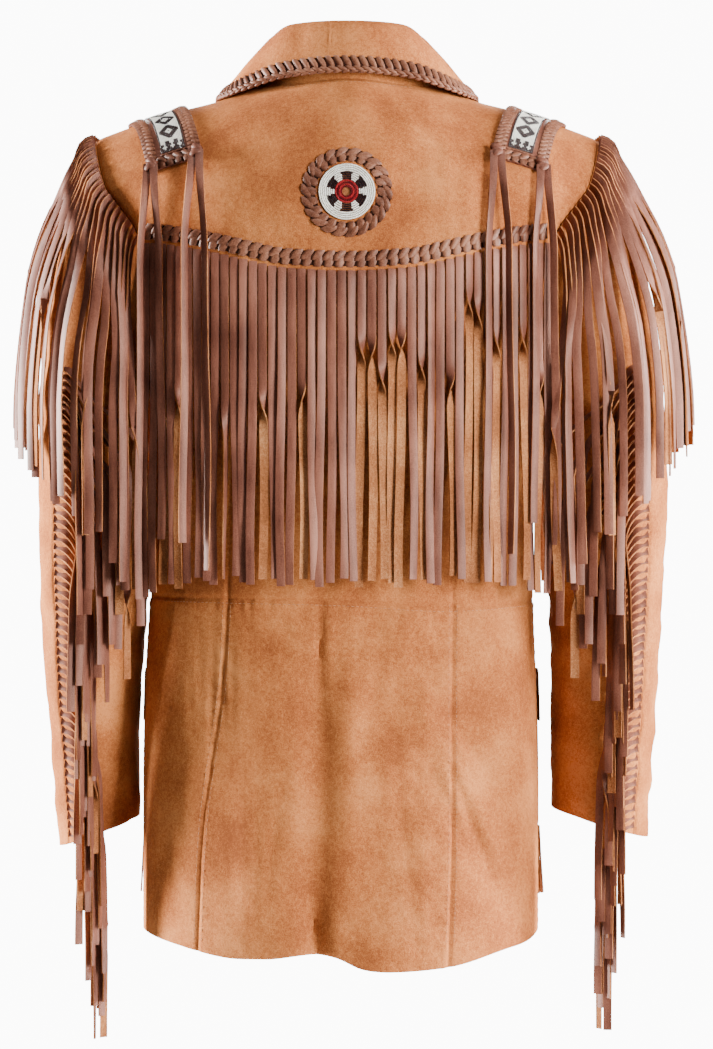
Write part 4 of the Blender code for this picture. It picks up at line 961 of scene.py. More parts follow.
@dataclass
class Tailor:
    """Panels of the body and the sleeves, with their seams and stitching."""

    body: BodyForm
    seams: Seams
    wall: float = 0.0015
    back_seam: float = 50.0
    front_seam: float = -140.0
    stitch_pitch: float = 0.0042
    stitch_off: float = 0.0036

    def cloth(self, name: str, node: str, points: Array, outward: Array, seams: str,
              pucker: float = 0.0) -> None:
        """Make a panel.

        Args:
            name: Name of the piece.
            node: Frame node that it stands for.
            points: Its grid.
            outward: Direction out of the coat.
            seams: Its sewn edges.
            pucker: Height of the puckers beside its seams.
        """
        normals = grid_normals(points, outward)
        points = sewn(points, normals, seams, pucker=pucker)
        soup = Soup()
        shell(soup, points, grid_normals(points, outward), self.wall)
        soup.suede(name, node)

    def yoke(self) -> None:
        """Back yoke, from the armholes and its curved lower edge up to the neck and shoulders."""
        across = np.concatenate([-shares(1.0, 0.013)[::-1], shares(1.0, 0.013)[1:]])
        lower = self.body.line(self.seams.yoke, Face.BACK)
        grid = self.body.panel(Face.BACK, lambda s, _h: s, across, lower,
                               lambda c: self.body.neck_top(Face.BACK, c), shares(0.20, 0.0034))
        self.cloth("yoke", "back_yoke", grid, np.array([0, 1, 0.3]), "lrt")

    def back(self) -> None:
        """Back below the yoke: upper and lower panels parted by the cross and princess seams."""
        body, seams = self.body, self.seams
        hem = body.line(seams.back_hem, Face.BACK, signed=True)
        cross = body.line(seams.cross, Face.BACK, signed=True)
        yoke = body.line(seams.yoke, Face.BACK)

        def edge(which: str, h: Array) -> Array:
            """Cross coordinate of a panel's side edge."""
            if which in ("left", "right"):
                return np.full(np.shape(h), 1.0 if which == "left" else -1.0)
            left = which == "seam_left"
            x = read(seams.princess, h, 1 if left else 2)
            return body.cross_of(Face.BACK, x if left else -x, h)

        spans = (("side", "right", "right", "seam_right", 0.095),
                 ("centre", "", "seam_right", "seam_left", 0.225),
                 ("side", "left", "seam_left", "left", 0.095))
        for part, word, low, high, width in spans:
            tail = "_" + word if word else ""
            for level, lower, upper, length, step, sides, pucker in (
                    ("lower", hem, cross, 0.33, 0.0029, "lrt", 0.0004),
                    ("upper", cross, yoke, 0.30, 0.006, "lrb", 0.0)):
                grid = body.panel(Face.BACK, lambda s, h: edge(low, h) * (1 - s) + edge(high, h) * s,
                                  shares(width, step), lower, upper, shares(length, step))
                node = "back_" + part + "_" + level + tail
                self.cloth(node + "_suede", node, grid, np.array([0, 1, 0]), sides,
                           pucker=pucker)

    def fronts(self) -> None:
        """Buttoned fronts; the wearer's left one laps over the right one."""
        body = self.body
        hem = body.line(self.seams.front_hem, Face.FRONT)
        for arm in Arm:
            lap = float(body.cross_of(Face.FRONT, 0.015, -0.3))
            grid = body.panel(Face.FRONT, lambda s, _h: arm.value * (-lap + (1 + lap) * s),
                              shares(0.22, 0.0066), hem, lambda c: body.neck_top(Face.FRONT, c),
                              shares(0.80, 0.0066))
            if arm is Arm.RIGHT:
                under = smooth((0.036 - np.abs(grid[..., 0])) / 0.012)
                grid[..., 1] += body.lap_lift * under
            self.cloth("front_suede_" + arm.word, "front_" + arm.word, grid, np.array([0, -1, 0.1]), "r")

    def sleeves(self) -> None:
        """Top and under sleeve of each arm."""
        for arm in Arm:
            form = SleeveForm(self.body, arm.value)
            for part, start, end, width, area in (
                    ("top", self.front_seam, self.back_seam, 0.29, 0.13),
                    ("under", self.back_seam, self.front_seam + 360, 0.25, 0.11)):
                phi, k = np.meshgrid(start + (end - start) * shares(width, 0.0060), shares(0.62, 0.0060))
                ending = part + "_" + arm.word
                self.cloth("sleeve_suede_" + ending, "sleeve_" + ending, form.point(phi, k),
                           form.normal(phi, k), "lrb")

    def sew(self) -> None:
        """Rows of stitches beside the seams of the back."""
        places, faces = Workbench.stitch(0.0030, 0.00055)
        soup = Soup()
        z = np.linspace(-0.785, -0.477, 160)
        for column, sign in ((1, 1), (2, -1)):
            for shift in (-self.stitch_off, self.stitch_off):
                x = sign * read(self.seams.princess, z, column) + shift
                self.row(soup, places, faces, *self.body.place(Face.BACK, x, z))
        x = np.linspace(-0.172, 0.172, 120)
        z = read(self.seams.cross, x, 1) - self.stitch_off
        self.row(soup, places, faces, *self.body.place(Face.BACK, x, z))
        x = np.linspace(-0.060, 0.060, 60)
        c = self.body.cross_of(Face.BACK, x, np.full(x.shape, -0.07))
        neck = self.body.point(Face.BACK, c, self.body.neck_top(Face.BACK, c) - 0.006)
        self.row(soup, places, faces, neck, unit(np.stack([0 * x, 0 * x + 1, 0 * x + 0.8], -1)))
        soup.piece("seam_stitches", [THREAD], [])

    def row(self, soup: Soup, places: Array, faces: list, points: Array, normals: Array) -> None:
        """Lay one row of stitches along points."""
        path = Path(points, normals)
        path.lay(soup, places, faces, np.arange(0.002, path.runs()[-1], self.stitch_pitch))


@dataclass
class Collar:
    """Collar stand, turned-down fall, and the laced edge of the fall."""

    body: BodyForm
    wall: float = 0.0015
    reach: float = 10 / 12
    lip_rise: float = 0.0027
    edge_pitch: float = 0.0078
    # Share of the way round, fold line x, y, z, outer edge x, y, z
    rows: Table = (
        (-0.25, -0.0480, 0.0460, 0.0620, -0.0594, 0.0680, 0.0141),
        (0.00, 0.0000, 0.0600, 0.0630, 0.0000, 0.0800, 0.0182),
        (0.25, 0.0480, 0.0460, 0.0620, 0.0594, 0.0680, 0.0141),
        (0.40, 0.0640, 0.0240, 0.0565, 0.0968, 0.0500, 0.0047),
        (0.50, 0.0670, 0.0060, 0.0520, 0.1166, 0.0250, 0.0010),
        (0.60, 0.0660, -0.0150, 0.0440, 0.1240, -0.0120, 0.0020),
        (0.75, 0.0580, -0.0520, 0.0240, 0.1220, -0.0600, -0.0200),
        (0.88, 0.0440, -0.0820, 0.0010, 0.1050, -0.0960, -0.0550),
        (1.00, 0.0260, -0.1080, -0.0240, 0.0780, -0.1190, -0.0980),
    )
    bulge: Table = ((0.0, 0.0008), (0.12, 0.0030), (0.42, 0.0045), (0.71, 0.0025), (0.86, 0.0012), (1.0, 0.0))

    def lines(self, share: Array) -> tuple[Array, Array, Array, Array]:
        """Neck seam, fold line, outer edge and the way out, round the neck from -1 to 1."""
        around, side = np.abs(share), np.where(share >= 0, 1.0, -1.0)
        lean = float(read(self.body.lean, np.array(0.0), 1))
        values = [read(self.rows, around, column) for column in range(1, 7)]
        fold = np.stack([side * values[0] + lean, values[1], values[2]], -1)
        edge = np.stack([side * values[3] + lean, values[4], values[5]], -1)
        away = unit(np.stack([side * values[0], values[1], 0 * around], -1))
        turned = around * self.reach
        c_back, c_front = self.body.neck_c * turned * 2, self.body.neck_c * (1 - turned) * 2
        back = self.body.point(Face.BACK, side * c_back, self.body.neck_top(Face.BACK, c_back))
        front = self.body.point(Face.FRONT, side * c_front, self.body.neck_top(Face.FRONT, c_front))
        seam = np.where((turned <= 0.5)[:, None], back, front)
        return seam, fold, edge, away

    def fall_grid(self, share: Array, down: Array) -> Array:
        """Grid of the fall from its inner lip over the fold to the outer edge."""
        _seam, fold, edge, away = self.lines(share)
        up = np.array([0.0, 0.0, 1.0])
        lip = fold + up * self.lip_rise - away * 0.0008
        crest = fold + up * self.lip_rise * 0.9 + away * 0.0030
        run = edge - crest
        swell = unit(np.cross(run, np.stack([-away[:, 1], away[:, 0], 0 * away[:, 0]], -1)))
        swell = swell * np.where(np.sum(swell * away, -1) > 0, 1, -1)[:, None]
        rows = [lip, (lip + crest) / 2 + up * 0.0006]
        for t in down:
            crease = bump(crest[:, 0] - 0.0133, 0.0016) * bump(t - 0.35, 0.3)
            ridge = bump(crest[:, 0] - 0.0100, 0.0020) * bump(t - 0.35, 0.3)
            dent = bump(crest[:, 0] - 0.036, 0.006) * bump(t - 0.30, 0.25)
            wave = 0.0006 * ripple(share, np.full(share.shape, t * 0.3), 0.5, 12)
            height = float(read(self.bulge, np.array(t), 1)) - 0.0012 * crease + 0.0008 * ridge - 0.001 * dent
            rows.append(crest + run * t + swell * (height + wave * t)[:, None])
        return np.stack(rows)

    def build(self) -> None:
        """Make the stand, the fall and the laced edge."""
        share = np.linspace(-1, 1, 221)
        seam, fold, _edge, away = self.lines(share)
        up = np.array([0.0, 0.0, 1.0])
        low, high = seam - up * 0.0022 - away * 0.0008, fold - away * 0.0004
        stand = np.stack([low + (high - low) * t for t in shares(0.055, 0.0035)])
        outward = unit(stand * np.array([1, 1, 0]))
        soup = Soup()
        shell(soup, stand, grid_normals(stand, outward), self.wall)
        made = soup.suede("collar_stand_suede", "collar_stand")
        fall = self.fall_grid(share, shares(0.055, 0.0032))
        outward = unit(fall * np.array([1, 1, 0])) + up * 0.4
        normals = grid_normals(fall, outward)
        soup = Soup()
        shell(soup, fall, normals, self.wall)
        made = soup.suede("collar_fall_suede", "collar_fall")
        self.lace(fall, normals)

    def lace(self, fall: Array, normals: Array) -> None:
        """Lace the outer edge: slanted stitches over a twisted rope that wraps the edge."""
        edge = Path(fall[-1], normals[-1])
        reach = edge.runs()[-1]
        sign = 1.0 if edge.at(np.array([reach / 2]))[1][0] @ (fall[-4][110] - fall[-1][110]) > 0 else -1.0
        soup = Soup()
        starts = np.arange(0.004, reach - 0.006, self.edge_pitch)
        places, faces = Workbench.leaf(self.edge_pitch * 0.86, sign * 0.0135, sign * 0.0030,
                                       -0.0050, 0.0018, 0.0004, 0.3)
        edge.lay(soup, places, faces, starts)
        # Dark strip under the stitches: painted shade between them
        ground(soup, edge, 0.003, reach - 0.004, sign * 0.0022, sign * 0.0122)
        places, faces = Workbench.roll(0.0105, 0.0042, 0.0036)
        turned = places.copy()
        turned[:, 1] += places[:, 0] * 0.28 * sign + sign * 0.0012
        turned[:, 2] += 0.0004
        edge.lay(soup, turned, faces, starts + 0.002)
        lower = places.copy() * np.array([0.9, 0.8, 1.0])
        lower[:, 1] += -places[:, 0] * 0.22 * sign - sign * 0.0010
        lower[:, 2] -= 0.0010
        edge.lay(soup, lower, faces, starts + 0.0055)
        soup.braid("collar_lacing", "collar_braid")


@dataclass
class YokeTrim:
    """Flat plait above the yoke's lower edge."""

    body: BodyForm
    seams: Seams
    pitch: float = 0.0098
    middle: float = 0.0115
    half: float = 0.0076
    end_c: float = 0.965

    def build(self) -> None:
        """Make the plait."""
        c = np.linspace(self.end_c, -self.end_c, 320)
        height = self.body.line(self.seams.yoke, Face.BACK, rise=self.middle)
        h = height(c)
        points = self.body.point(Face.BACK, c, h)
        around = self.body.point(Face.BACK, c + 0.004, height(c + 0.004)) - points
        above = self.body.point(Face.BACK, c, h + 0.002) - points
        normals = unit(np.cross(around, above))
        normals = normals * np.where(normals[:, 1:2] > 0, 1, -1)
        path = Path(points, normals)
        soup = Soup()
        starts = np.arange(0.006, path.runs()[-1] - 0.004, self.pitch)
        plait(soup, path, starts, self.pitch, self.half)
        soup.braid("yoke_plait", "yoke_braid")


def plait(soup: Soup, path: Path, starts: Array, pitch: float, half: float, height: float = 0.0017,
          slants: tuple[float, float] = (0.16, -0.66), fill: float = 0.93) -> None:
    """Lay a flat two-row plait along a path.

    Args:
        soup: Where it goes.
        path: Its centre line.
        starts: Length at which each stitch stands.
        pitch: Distance between stitches.
        half: Half of its width.
        height: Height of its crown.
        slants: How far the stitches of the lower and the upper row run along it, in pitches.
        fill: Width of a stitch, in pitches.
    """
    _point, across, _normal = path.at(np.array([path.runs()[-1] / 2]))
    up = 1.0 if across[0, 2] >= 0 else -1.0
    wide, low_slant, top_slant = pitch * fill, pitch * slants[0], pitch * slants[1]
    low, low_faces = Workbench.leaf(wide, -up * half, up * half * 0.30, low_slant, height * 0.9, 0.0004)
    top, top_faces = Workbench.leaf(wide, up * half, -up * half * 0.24, top_slant, height, 0.0004)
    path.lay(soup, low, low_faces, starts)
    top = top + np.array([pitch * 0.34, 0.0, 0.0004])
    path.lay(soup, top, top_faces, starts)
    # Dark strip under the stitches: painted shade between them
    ground(soup, path, starts[0] - pitch * 0.2, starts[-1] + pitch * 0.6, -half * 0.86, half * 0.86)


def ground(soup: Soup, path: Path, start: float, end: float, low: float, high: float) -> None:
    """Lay a thin dark strip under the stitches of a plait, painted shade for the gaps between them.

    Args:
        soup: Where it goes, as material 1.
        path: Centre line of the plait.
        start: Length at which the strip starts.
        end: Length at which it ends.
        low: Its edge across the path.
        high: Its other edge.
    """
    base, across, normal = path.at(np.linspace(start, end, 160))
    grid = np.stack([base + across * v + normal * 0.0007 for v in np.linspace(low, high, 5)])
    shell(soup, grid, np.repeat(normal[None], 5, axis=0), 0.0005, (1, 1, 1))


@dataclass
class Rosette:
    """Beaded disc on the yoke with a plaited ring round it."""

    body: BodyForm
    height: float = -0.1015
    bead: float = 0.00150
    backing: float = 0.0262
    ring_radii: tuple[float, ...] = (0.0249, 0.0231, 0.0213, 0.0195, 0.0176, 0.0157, 0.0138, 0.0119, 0.0099,
                                     0.0081, 0.0063, 0.0046)
    plait_radius: float = 0.0345
    plait_half: float = 0.0070
    stitches: int = 22

    def circle(self, radius: float, count: int) -> Path:
        """Closed path round the rosette."""
        angle = np.linspace(0, 2 * math.pi, count + 1)
        return Path(*self.body.place(Face.BACK, radius * np.cos(angle), self.height + radius * np.sin(angle)),
                    closed=True)

    def tone(self, ring: int, angle: Array) -> Array:
        """Bead colour: 0 white, 1 black, 2 red, 3 dark red."""
        if ring < 4:
            return np.zeros(angle.shape, int)
        if ring < 8:
            return (np.mod(angle - math.pi / 2 + math.pi / 9.5, math.pi / 3) < math.pi / 4.75).astype(int)
        return np.full(angle.shape, (2, 3, 2, 3)[ring - 8])

    def build(self) -> None:
        """Make the beads, their backing and the plait."""
        soup = Soup()
        for ring, radius in enumerate(self.ring_radii):
            path = self.circle(radius, 72)
            reach = path.runs()[-1]
            count = int(reach / self.bead)
            places, faces = Workbench.bead(reach / count * 1.02, 0.0019, 0.0017, 6)
            places[:, 2] += 0.0014
            starts = np.arange(count) * reach / count
            tones = self.tone(ring, starts / reach * 2 * math.pi)
            for tone in range(4):
                path.lay(soup, places, faces, starts[tones == tone], tone)
        rings, spokes = 10, 48
        turn = np.linspace(0, 2 * math.pi, spokes + 1)[:-1]
        radii, angle = np.meshgrid(np.linspace(0.0, self.backing, rings), turn, indexing="ij")
        x, z = radii * np.cos(angle), self.height + radii * np.sin(angle)
        points, normals = self.body.place(Face.BACK, x, z)
        number = np.arange(rings * spokes).reshape(rings, spokes)
        ahead = np.roll(number, -1, axis=1)
        top = np.stack([number[:-1], number[1:], ahead[1:], ahead[:-1]], -1).reshape(-1, 4)
        under = number.size
        rim = [(int(a), int(a) + under, int(b) + under, int(b)) for a, b in zip(number[-1], ahead[-1])]
        lift = points + normals * 0.0007
        faces = top[:, ::-1].tolist() + (top + under).tolist() + rim
        soup.add(np.concatenate([lift.reshape(-1, 3), (points + normals * 0.0001).reshape(-1, 3)]), faces, 4)
        soup.piece("rosette_beadwork", [WHITE_BEAD, BLACK_BEAD, RED_BEAD, DARK_RED_BEAD, LACE_FLESH],
                   ["rosette_disc"])
        path = self.circle(self.plait_radius, 144)
        soup = Soup()
        reach = path.runs()[-1]
        starts = np.arange(self.stitches) * reach / self.stitches
        plait(soup, path, starts, reach / self.stitches, self.plait_half)
        soup.braid("rosette_plait", "rosette_braid")


@dataclass
class Epaulette:
    """Leather pad over a shoulder with plaited borders and a loom-beaded strip."""

    body: BodyForm
    arm: Arm
    middle: float = 0.182
    shift: float = -0.025
    half: float = 0.0254
    turn: float = 52.0
    strip_a: float = 0.52
    beads_a: tuple[float, float] = (-0.50, 0.40)
    row_pitch: float = 0.00166
    strip_b: float = 0.875
    lift: float = 0.0008
    wall: float = 0.0013
    # One repeat of the loom chart, from the strip's end: W is a white bead, K a dark one
    border: tuple[str, ...] = (
        "KKKKKKKKKKKKKKKKK", "KKKKKKKKKKKKKKKKK", "KKKWKKKKWKKKKWKKK", "KKWWWKKWWWKKWWWKK",
        "KKKWKKKKWKKKKWKKK", "KKKWKKKKWKKKKWKKK", "KWWWKKKWWWKKKWWWK", "KWWWKKKWWWKKKWWWK",
        "KWWWWWWWWWWWWWWWK",
    )
    diamond: tuple[str, ...] = (
        "KWWWWWWWWWWWWWWWK", "KWWWWWWKKKWWWWWWK", "KWWWWWKKKKKWWWWWK", "KWWWWKKKKKKKWWWWK",
        "KWWWKKKKKKKKKWWWK", "KWWKKKKKWKKKKKWWK", "KWKKKKKWWWKKKKKWK", "KWKKKKWWKWWKKKKWK",
        "KWKKKKKWWWKKKKKWK", "KWWKKKKKWKKKKKWWK", "KWWWKKKKKKKKKWWWK", "KWWWWKKKKKKKWWWWK",
        "KWWWWWKKKKKWWWWWK", "KWWWWWWKKKWWWWWWK",
    )

    def point(self, a: Array, b: Array, lift: float = 0.0) -> Array:
        """Point of the pad: a across from the neck side, b along from front to back."""
        x = self.arm.value * (self.middle + self.shift * np.abs(b) + self.half * a)
        turn = self.turn * b
        share = self.body.straight + (1 - self.body.straight) * (90.0 - np.abs(turn)) / 90.0
        h = self.body.underarm + share * (self.body.shoulder - self.body.underarm)
        back = self.body.column_point(Face.BACK, x, self.body.depth(Face.BACK, x, h), h)
        front = self.body.column_point(Face.FRONT, x, self.body.depth(Face.FRONT, x, h), h)
        place = np.where((turn >= 0)[..., None], back, front)
        return place + self.normal(a, b) * lift if lift else place

    def normal(self, a: Array, b: Array) -> Array:
        """Outward normal of the shoulder under the pad."""
        across = self.point(a + 0.05, b) - self.point(a - 0.05, b)
        along = self.point(a, b + 0.02) - self.point(a, b - 0.02)
        normal = unit(np.cross(across, along))
        centre = np.array([self.arm.value * 0.18, 0.0, -0.15])
        return normal * np.where(np.sum(normal * (self.point(a, b) - centre), -1) > 0, 1, -1)[..., None]

    def path(self, a: Array, b: Array, lift: float) -> Path:
        """Path over the pad."""
        return Path(self.point(a, b, lift), self.normal(a, b))

    def build(self) -> None:
        """Make the pad, the border and the beads."""
        a, b = np.meshgrid(np.linspace(-1, 1, 21), np.linspace(-1, 1, 81))
        top = self.lift + self.wall
        soup = Soup()
        shell(soup, self.point(a, b, top), self.normal(a, b), self.wall, (0, 0, 0))
        made = soup.piece("pad_" + self.arm.word, [LACE_GRAIN], ["epaulette_" + self.arm.word])
        self.border_plaits(top)
        self.beads(top)

    def border_plaits(self, top: float) -> None:
        """Plaited borders along both sides and across both ends."""
        soup = Soup()
        edge = (1 + self.strip_a) / 2 + 0.02
        half = (1 - self.strip_a) / 2 * self.half * 0.96
        b = np.linspace(-0.985, 0.985, 200)
        for a in (-edge, edge):
            path = self.path(np.full(b.shape, a), b, top)
            pitch = 0.0058
            plait(soup, path, np.arange(0.002, path.runs()[-1] - 0.006, pitch), pitch, half, 0.0019,
                  (0.35, -0.55), 0.86)
        a = np.linspace(-0.62, 0.62, 40)
        for end in (-0.952, 0.952):
            path = self.path(a, np.full(a.shape, end), top)
            pitch = 0.0082
            plait(soup, path, np.arange(0.004, path.runs()[-1] - 0.001, pitch), pitch, 0.0062, 0.0017)
        places, faces = Workbench.roll(0.0050, 0.0017, 0.0016)
        a = np.linspace(self.beads_a[0] - 0.03, self.beads_a[1] + 0.05, 30)
        for end in (-self.strip_b - 0.012, self.strip_b + 0.012):
            path = self.path(a, np.full(a.shape, end), top + 0.0006)
            path.lay(soup, places, faces, np.arange(0.002, path.runs()[-1], 0.0036))
        soup.braid("pad_plait_" + self.arm.word, "epaulette_braid_" + self.arm.word)

    def beads(self, top: float) -> None:
        """Loom beadwork, charted bead by bead and mirrored over the shoulder."""
        columns = len(self.diamond[0])
        reach = self.path(np.zeros(60), np.linspace(0, self.strip_b, 60), top).runs()[-1]
        rows = int(reach / self.row_pitch)
        low, high = self.beads_a
        width = (high - low) * self.half / columns
        places, faces = Workbench.bead(width * 0.99, reach / rows * 0.98, 0.0015, 5)
        soup = Soup()
        for end in (-1, 1):
            for row in range(rows):
                chart = self.border[row] if row < len(self.border) else self.diamond[
                    (row - len(self.border)) % len(self.diamond)]
                b = end * self.strip_b * (rows - row - 0.5) / rows
                a = low + (high - low) * (np.arange(columns) + 0.5) / columns
                base, normal = self.point(a, np.full(a.shape, b), top), self.normal(a, np.full(a.shape, b))
                across = unit(np.gradient(base, axis=0))
                along = np.cross(normal, across)
                for n in range(columns):
                    placed = (base[n] + places[:, :1] * across[n] + places[:, 1:2] * along[n]
                              + (places[:, 2:3] + 0.0008) * normal[n])
                    soup.add(placed, faces, 1 if chart[n] == "K" else 0)
        soup.piece("loom_beads_" + self.arm.word, [WHITE_BEAD, BLACK_BEAD], ["bead_strip_" + self.arm.word],
                   60.0)


@dataclass
class Strip:
    """One strip of fringe: its middle line, the way across it and the way out of it."""

    points: Array
    across: Array
    out: Array
    width: float
    wall: float = 0.0011
    cup: float = 0.0005

    @classmethod
    def over(cls, points: Array, normals: Array, width: float) -> "Strip":
        """Strip along points, its grain side towards the normals."""
        along = unit(np.gradient(points, axis=0))
        across = unit(np.cross(normals, along))
        return cls(points, across, unit(np.cross(along, across)), width)

    def twist(self, angle: Array) -> "Strip":
        """Turn the strip about its own length by angles in degrees."""
        turn = np.radians(angle)[:, None]
        across = self.across * np.cos(turn) + self.out * np.sin(turn)
        out = self.out * np.cos(turn) - self.across * np.sin(turn)
        return Strip(self.points, across, out, self.width, self.wall, self.cup)

    def add_to(self, soup: Soup) -> None:
        """Add the strip as a closed form: grain side 0, flesh side and cut edges 1."""
        half, count = self.width / 2, len(self.points)
        rows = []
        for u, layer in ((-1, 1), (-0.5, 1), (0.5, 1), (1, 1), (1, -1), (0.5, -1), (-0.5, -1), (-1, -1)):
            lift = layer * self.wall / 2 + self.cup * (1 - u * u)
            reach = u * half * (0.97 if layer > 0 else 1.0)
            rows.append(self.points + self.across * reach + self.out * lift)
        ring = np.stack(rows, axis=1)
        number = np.arange(count * 8).reshape(count, 8)
        ahead = np.roll(number, -1, axis=1)
        quads = np.stack([number[:-1], ahead[:-1], ahead[1:], number[1:]], -1)
        handed = np.sum(np.cross(self.across[0], self.out[0]) * (self.points[1] - self.points[0]))
        faces = quads.reshape(-1, 4)
        caps = [tuple(number[0, ::-1]), tuple(number[-1])]
        if handed > 0:
            faces = faces[:, ::-1]
            caps = [tuple(number[0]), tuple(number[-1, ::-1])]
        tones = ([0] * 3 + [1] * 5) * (count - 1) + [1, 1]
        soup.add(ring, faces.tolist() + caps, tones)


def wobble(number: float, scale: float) -> float:
    """Small fixed difference between one strip and the next."""
    return scale * math.sin(number * 2.399) * math.cos(number * 0.731 + 0.4)


@dataclass
class Fringes:
    """Fringe out of the yoke, the armholes and the sleeves, and the thongs."""

    body: BodyForm
    seams: Seams
    width: float = 0.0079
    thong_width: float = 0.0074
    back_count: int = 44
    armhole_count: int = 50
    sleeve_count: int = 56
    armhole_reach: float = 103.0
    hang_y: float = 0.106
    seam_phi: float = 50.0
    # Each sleeve strip leaves its seam sideways and curls down: length, reach and drop of the curl
    curl: float = 0.050
    curl_out: float = 0.026
    curl_down: float = 0.036
    # Strips of the back fringe that turn over, from the wearer's right: number, degrees, share where
    back_turns: tuple[tuple[int, float, float], ...] = (
        (1, -180, 0.40), (3, 165, 0.30), (6, 180, 0.30), (7, -175, 0.27), (8, 180, 0.19),
        (9, 170, 0.17), (11, -180, 0.40), (14, 180, 0.34), (16, -180, 0.24), (17, 180, 0.25),
        (18, 175, 0.36), (19, -170, 0.27), (20, 180, 0.26), (26, -170, 0.42), (30, 180, 0.45),
        (34, 80, 0.50), (39, 175, 0.45), (41, -160, 0.50),
    )

    def hang(self, root: Array, across: Array, length: float, clearance: float, number: int) -> Strip:
        """Strip that hangs from a root on the back, pushed out by the cloth below it."""
        drops = np.linspace(0.0, length, 56)
        share = smooth(np.clip(drops / length, 0, 1))
        lean = 0.5 + 0.5 * math.sin(number * 1.1)
        x = root[0] + wobble(number, 0.0040) * share + 0.0012 * share * np.sin(drops / 0.045 + number * 1.7)
        z = root[2] - drops
        column = x - read(self.body.lean, z, 1)
        h = self.body.nominal(column, z)
        inside = np.abs(column) < read(self.body.sections, h, 1) * 0.995
        surface = self.body.column_point(Face.BACK, column, self.body.depth(Face.BACK, column, h), h)[..., 1]
        y = np.where(inside, surface + clearance, root[1])
        y[0] = root[1]
        y = np.maximum.accumulate(np.maximum(y, root[1]))
        y = y + share * 0.0015 * (1 + math.sin(number * 2.1))
        y = y + 0.0012 * share * lean * np.sin(drops / 0.018 + number)
        points = np.stack([x, y, z], -1)
        sideways = np.repeat(across[None], len(drops), axis=0)
        out = unit(np.cross(sideways, np.gradient(points, axis=0)))
        out = out * np.where(out[:, 1:2] > 0, 1, -1)
        return Strip(points, sideways, out, self.width)

    def back(self) -> None:
        """Fringe out of the yoke's seam."""
        soup = Soup()
        edge = self.body.line(self.seams.yoke, Face.BACK)
        c = np.linspace(-0.985, 0.985, 400)
        line = self.body.point(Face.BACK, c, edge(c))
        runs = np.concatenate([[0], np.cumsum(np.linalg.norm(np.diff(line, axis=0), axis=-1))])
        turns = {row[0]: row[1:] for row in self.back_turns}
        for n in range(self.back_count):
            share = (n + 0.5) / self.back_count
            at = np.interp(share * runs[-1], runs, c)
            centre = abs(share - 0.5) * 2
            three = np.array([at - 0.004, at, at + 0.004])
            here = self.body.point(Face.BACK, three, edge(three))
            across = unit((here[2] - here[0]) * np.array([1, 1, 0]))
            root = here[1] + np.array([0, 0.0004, 0.0010])
            length = 0.282 + 0.042 * centre ** 2 + wobble(n, 0.008)
            strip = self.hang(root, across, length, 0.0026, n)
            share = np.linspace(0, 1, len(strip.points))
            angle = 10 + wobble(n + 3, 30) * smooth((share + 0.1) / 0.3)
            angle = angle + wobble(n + 9, 34) * smooth((share - 0.3) / 0.5)
            angle = angle + 7 * np.sin(share * 7 + n * 1.3) * share
            degrees, where = turns.get(n, (0.0, 0.0))
            angle = angle + degrees * smooth((share - where + 0.07) / 0.15)
            strip.twist(angle).add_to(soup)
        soup.fringe("back_fringe_strips", "back_fringe")

    def armholes(self) -> None:
        """Fringe out of the armhole seams, over the sleeve caps."""
        for arm in Arm:
            form = SleeveForm(self.body, arm.value)
            soup = Soup()
            flare = 0.018 if arm is Arm.LEFT else 0.022
            for n, phi in enumerate(np.linspace(-self.armhole_reach, self.armhole_reach, self.armhole_count)):
                length = 0.290 + wobble(n + 7, 0.016)
                run = np.concatenate([np.linspace(0, 0.05, 10)[:-1], np.linspace(0.05, length, 18)])
                spread = smooth(run / 0.1)
                turn = phi * (1 + 0.25 * (phi / self.armhole_reach) ** 2 * spread) + wobble(n, 5.0) * spread
                k = form.k_after(turn, 0.0, run + 0.0015)
                layer = 0.0014 * (n % 3) * spread
                swell = (0.0026 + 0.0014 * (n % 2)) * bump(run - 0.010, 0.010)
                depth = 0.0012 + flare * smooth(run / 0.15) + layer + swell
                points, normals = form.off(turn, k, depth)
                if abs(phi) > 70.0:
                    share = spread * float(smooth(np.array((abs(phi) - 70.0) / 15.0)))
                    goal = math.copysign(self.hang_y + 0.0014 * (n % 3), phi)
                    points[:, 1] += (goal - points[:, 1]) * share
                    flat = np.array([0.0, math.copysign(1.0, phi), 0.0])
                    normals = unit(normals * (1 - share[:, None]) + flat * share[:, None])
                strip = Strip.over(points, normals, self.width)
                tilt = (-72.0 + wobble(n, 16)) * arm.value * (1 if phi > 0 else -1)
                play = wobble(n + 5, 60) + 9 * np.sin(run / 0.04 + n)
                angle = tilt * (1 - smooth((run - 0.024) / 0.055)) + play * smooth((run - 0.03) / 0.08)
                if n % 6 == 1:
                    turned = smooth((run - 0.09 - 0.02 * (n % 4)) / 0.05)
                    angle = angle + math.copysign(180, wobble(n, 1)) * turned
                strip.width = self.width * (0.94 + 0.16 * (n * 3 % 7) / 7)
                strip.twist(angle).add_to(soup)
            soup.fringe("armhole_fringe_strips_" + arm.word, "armhole_fringe_" + arm.word)

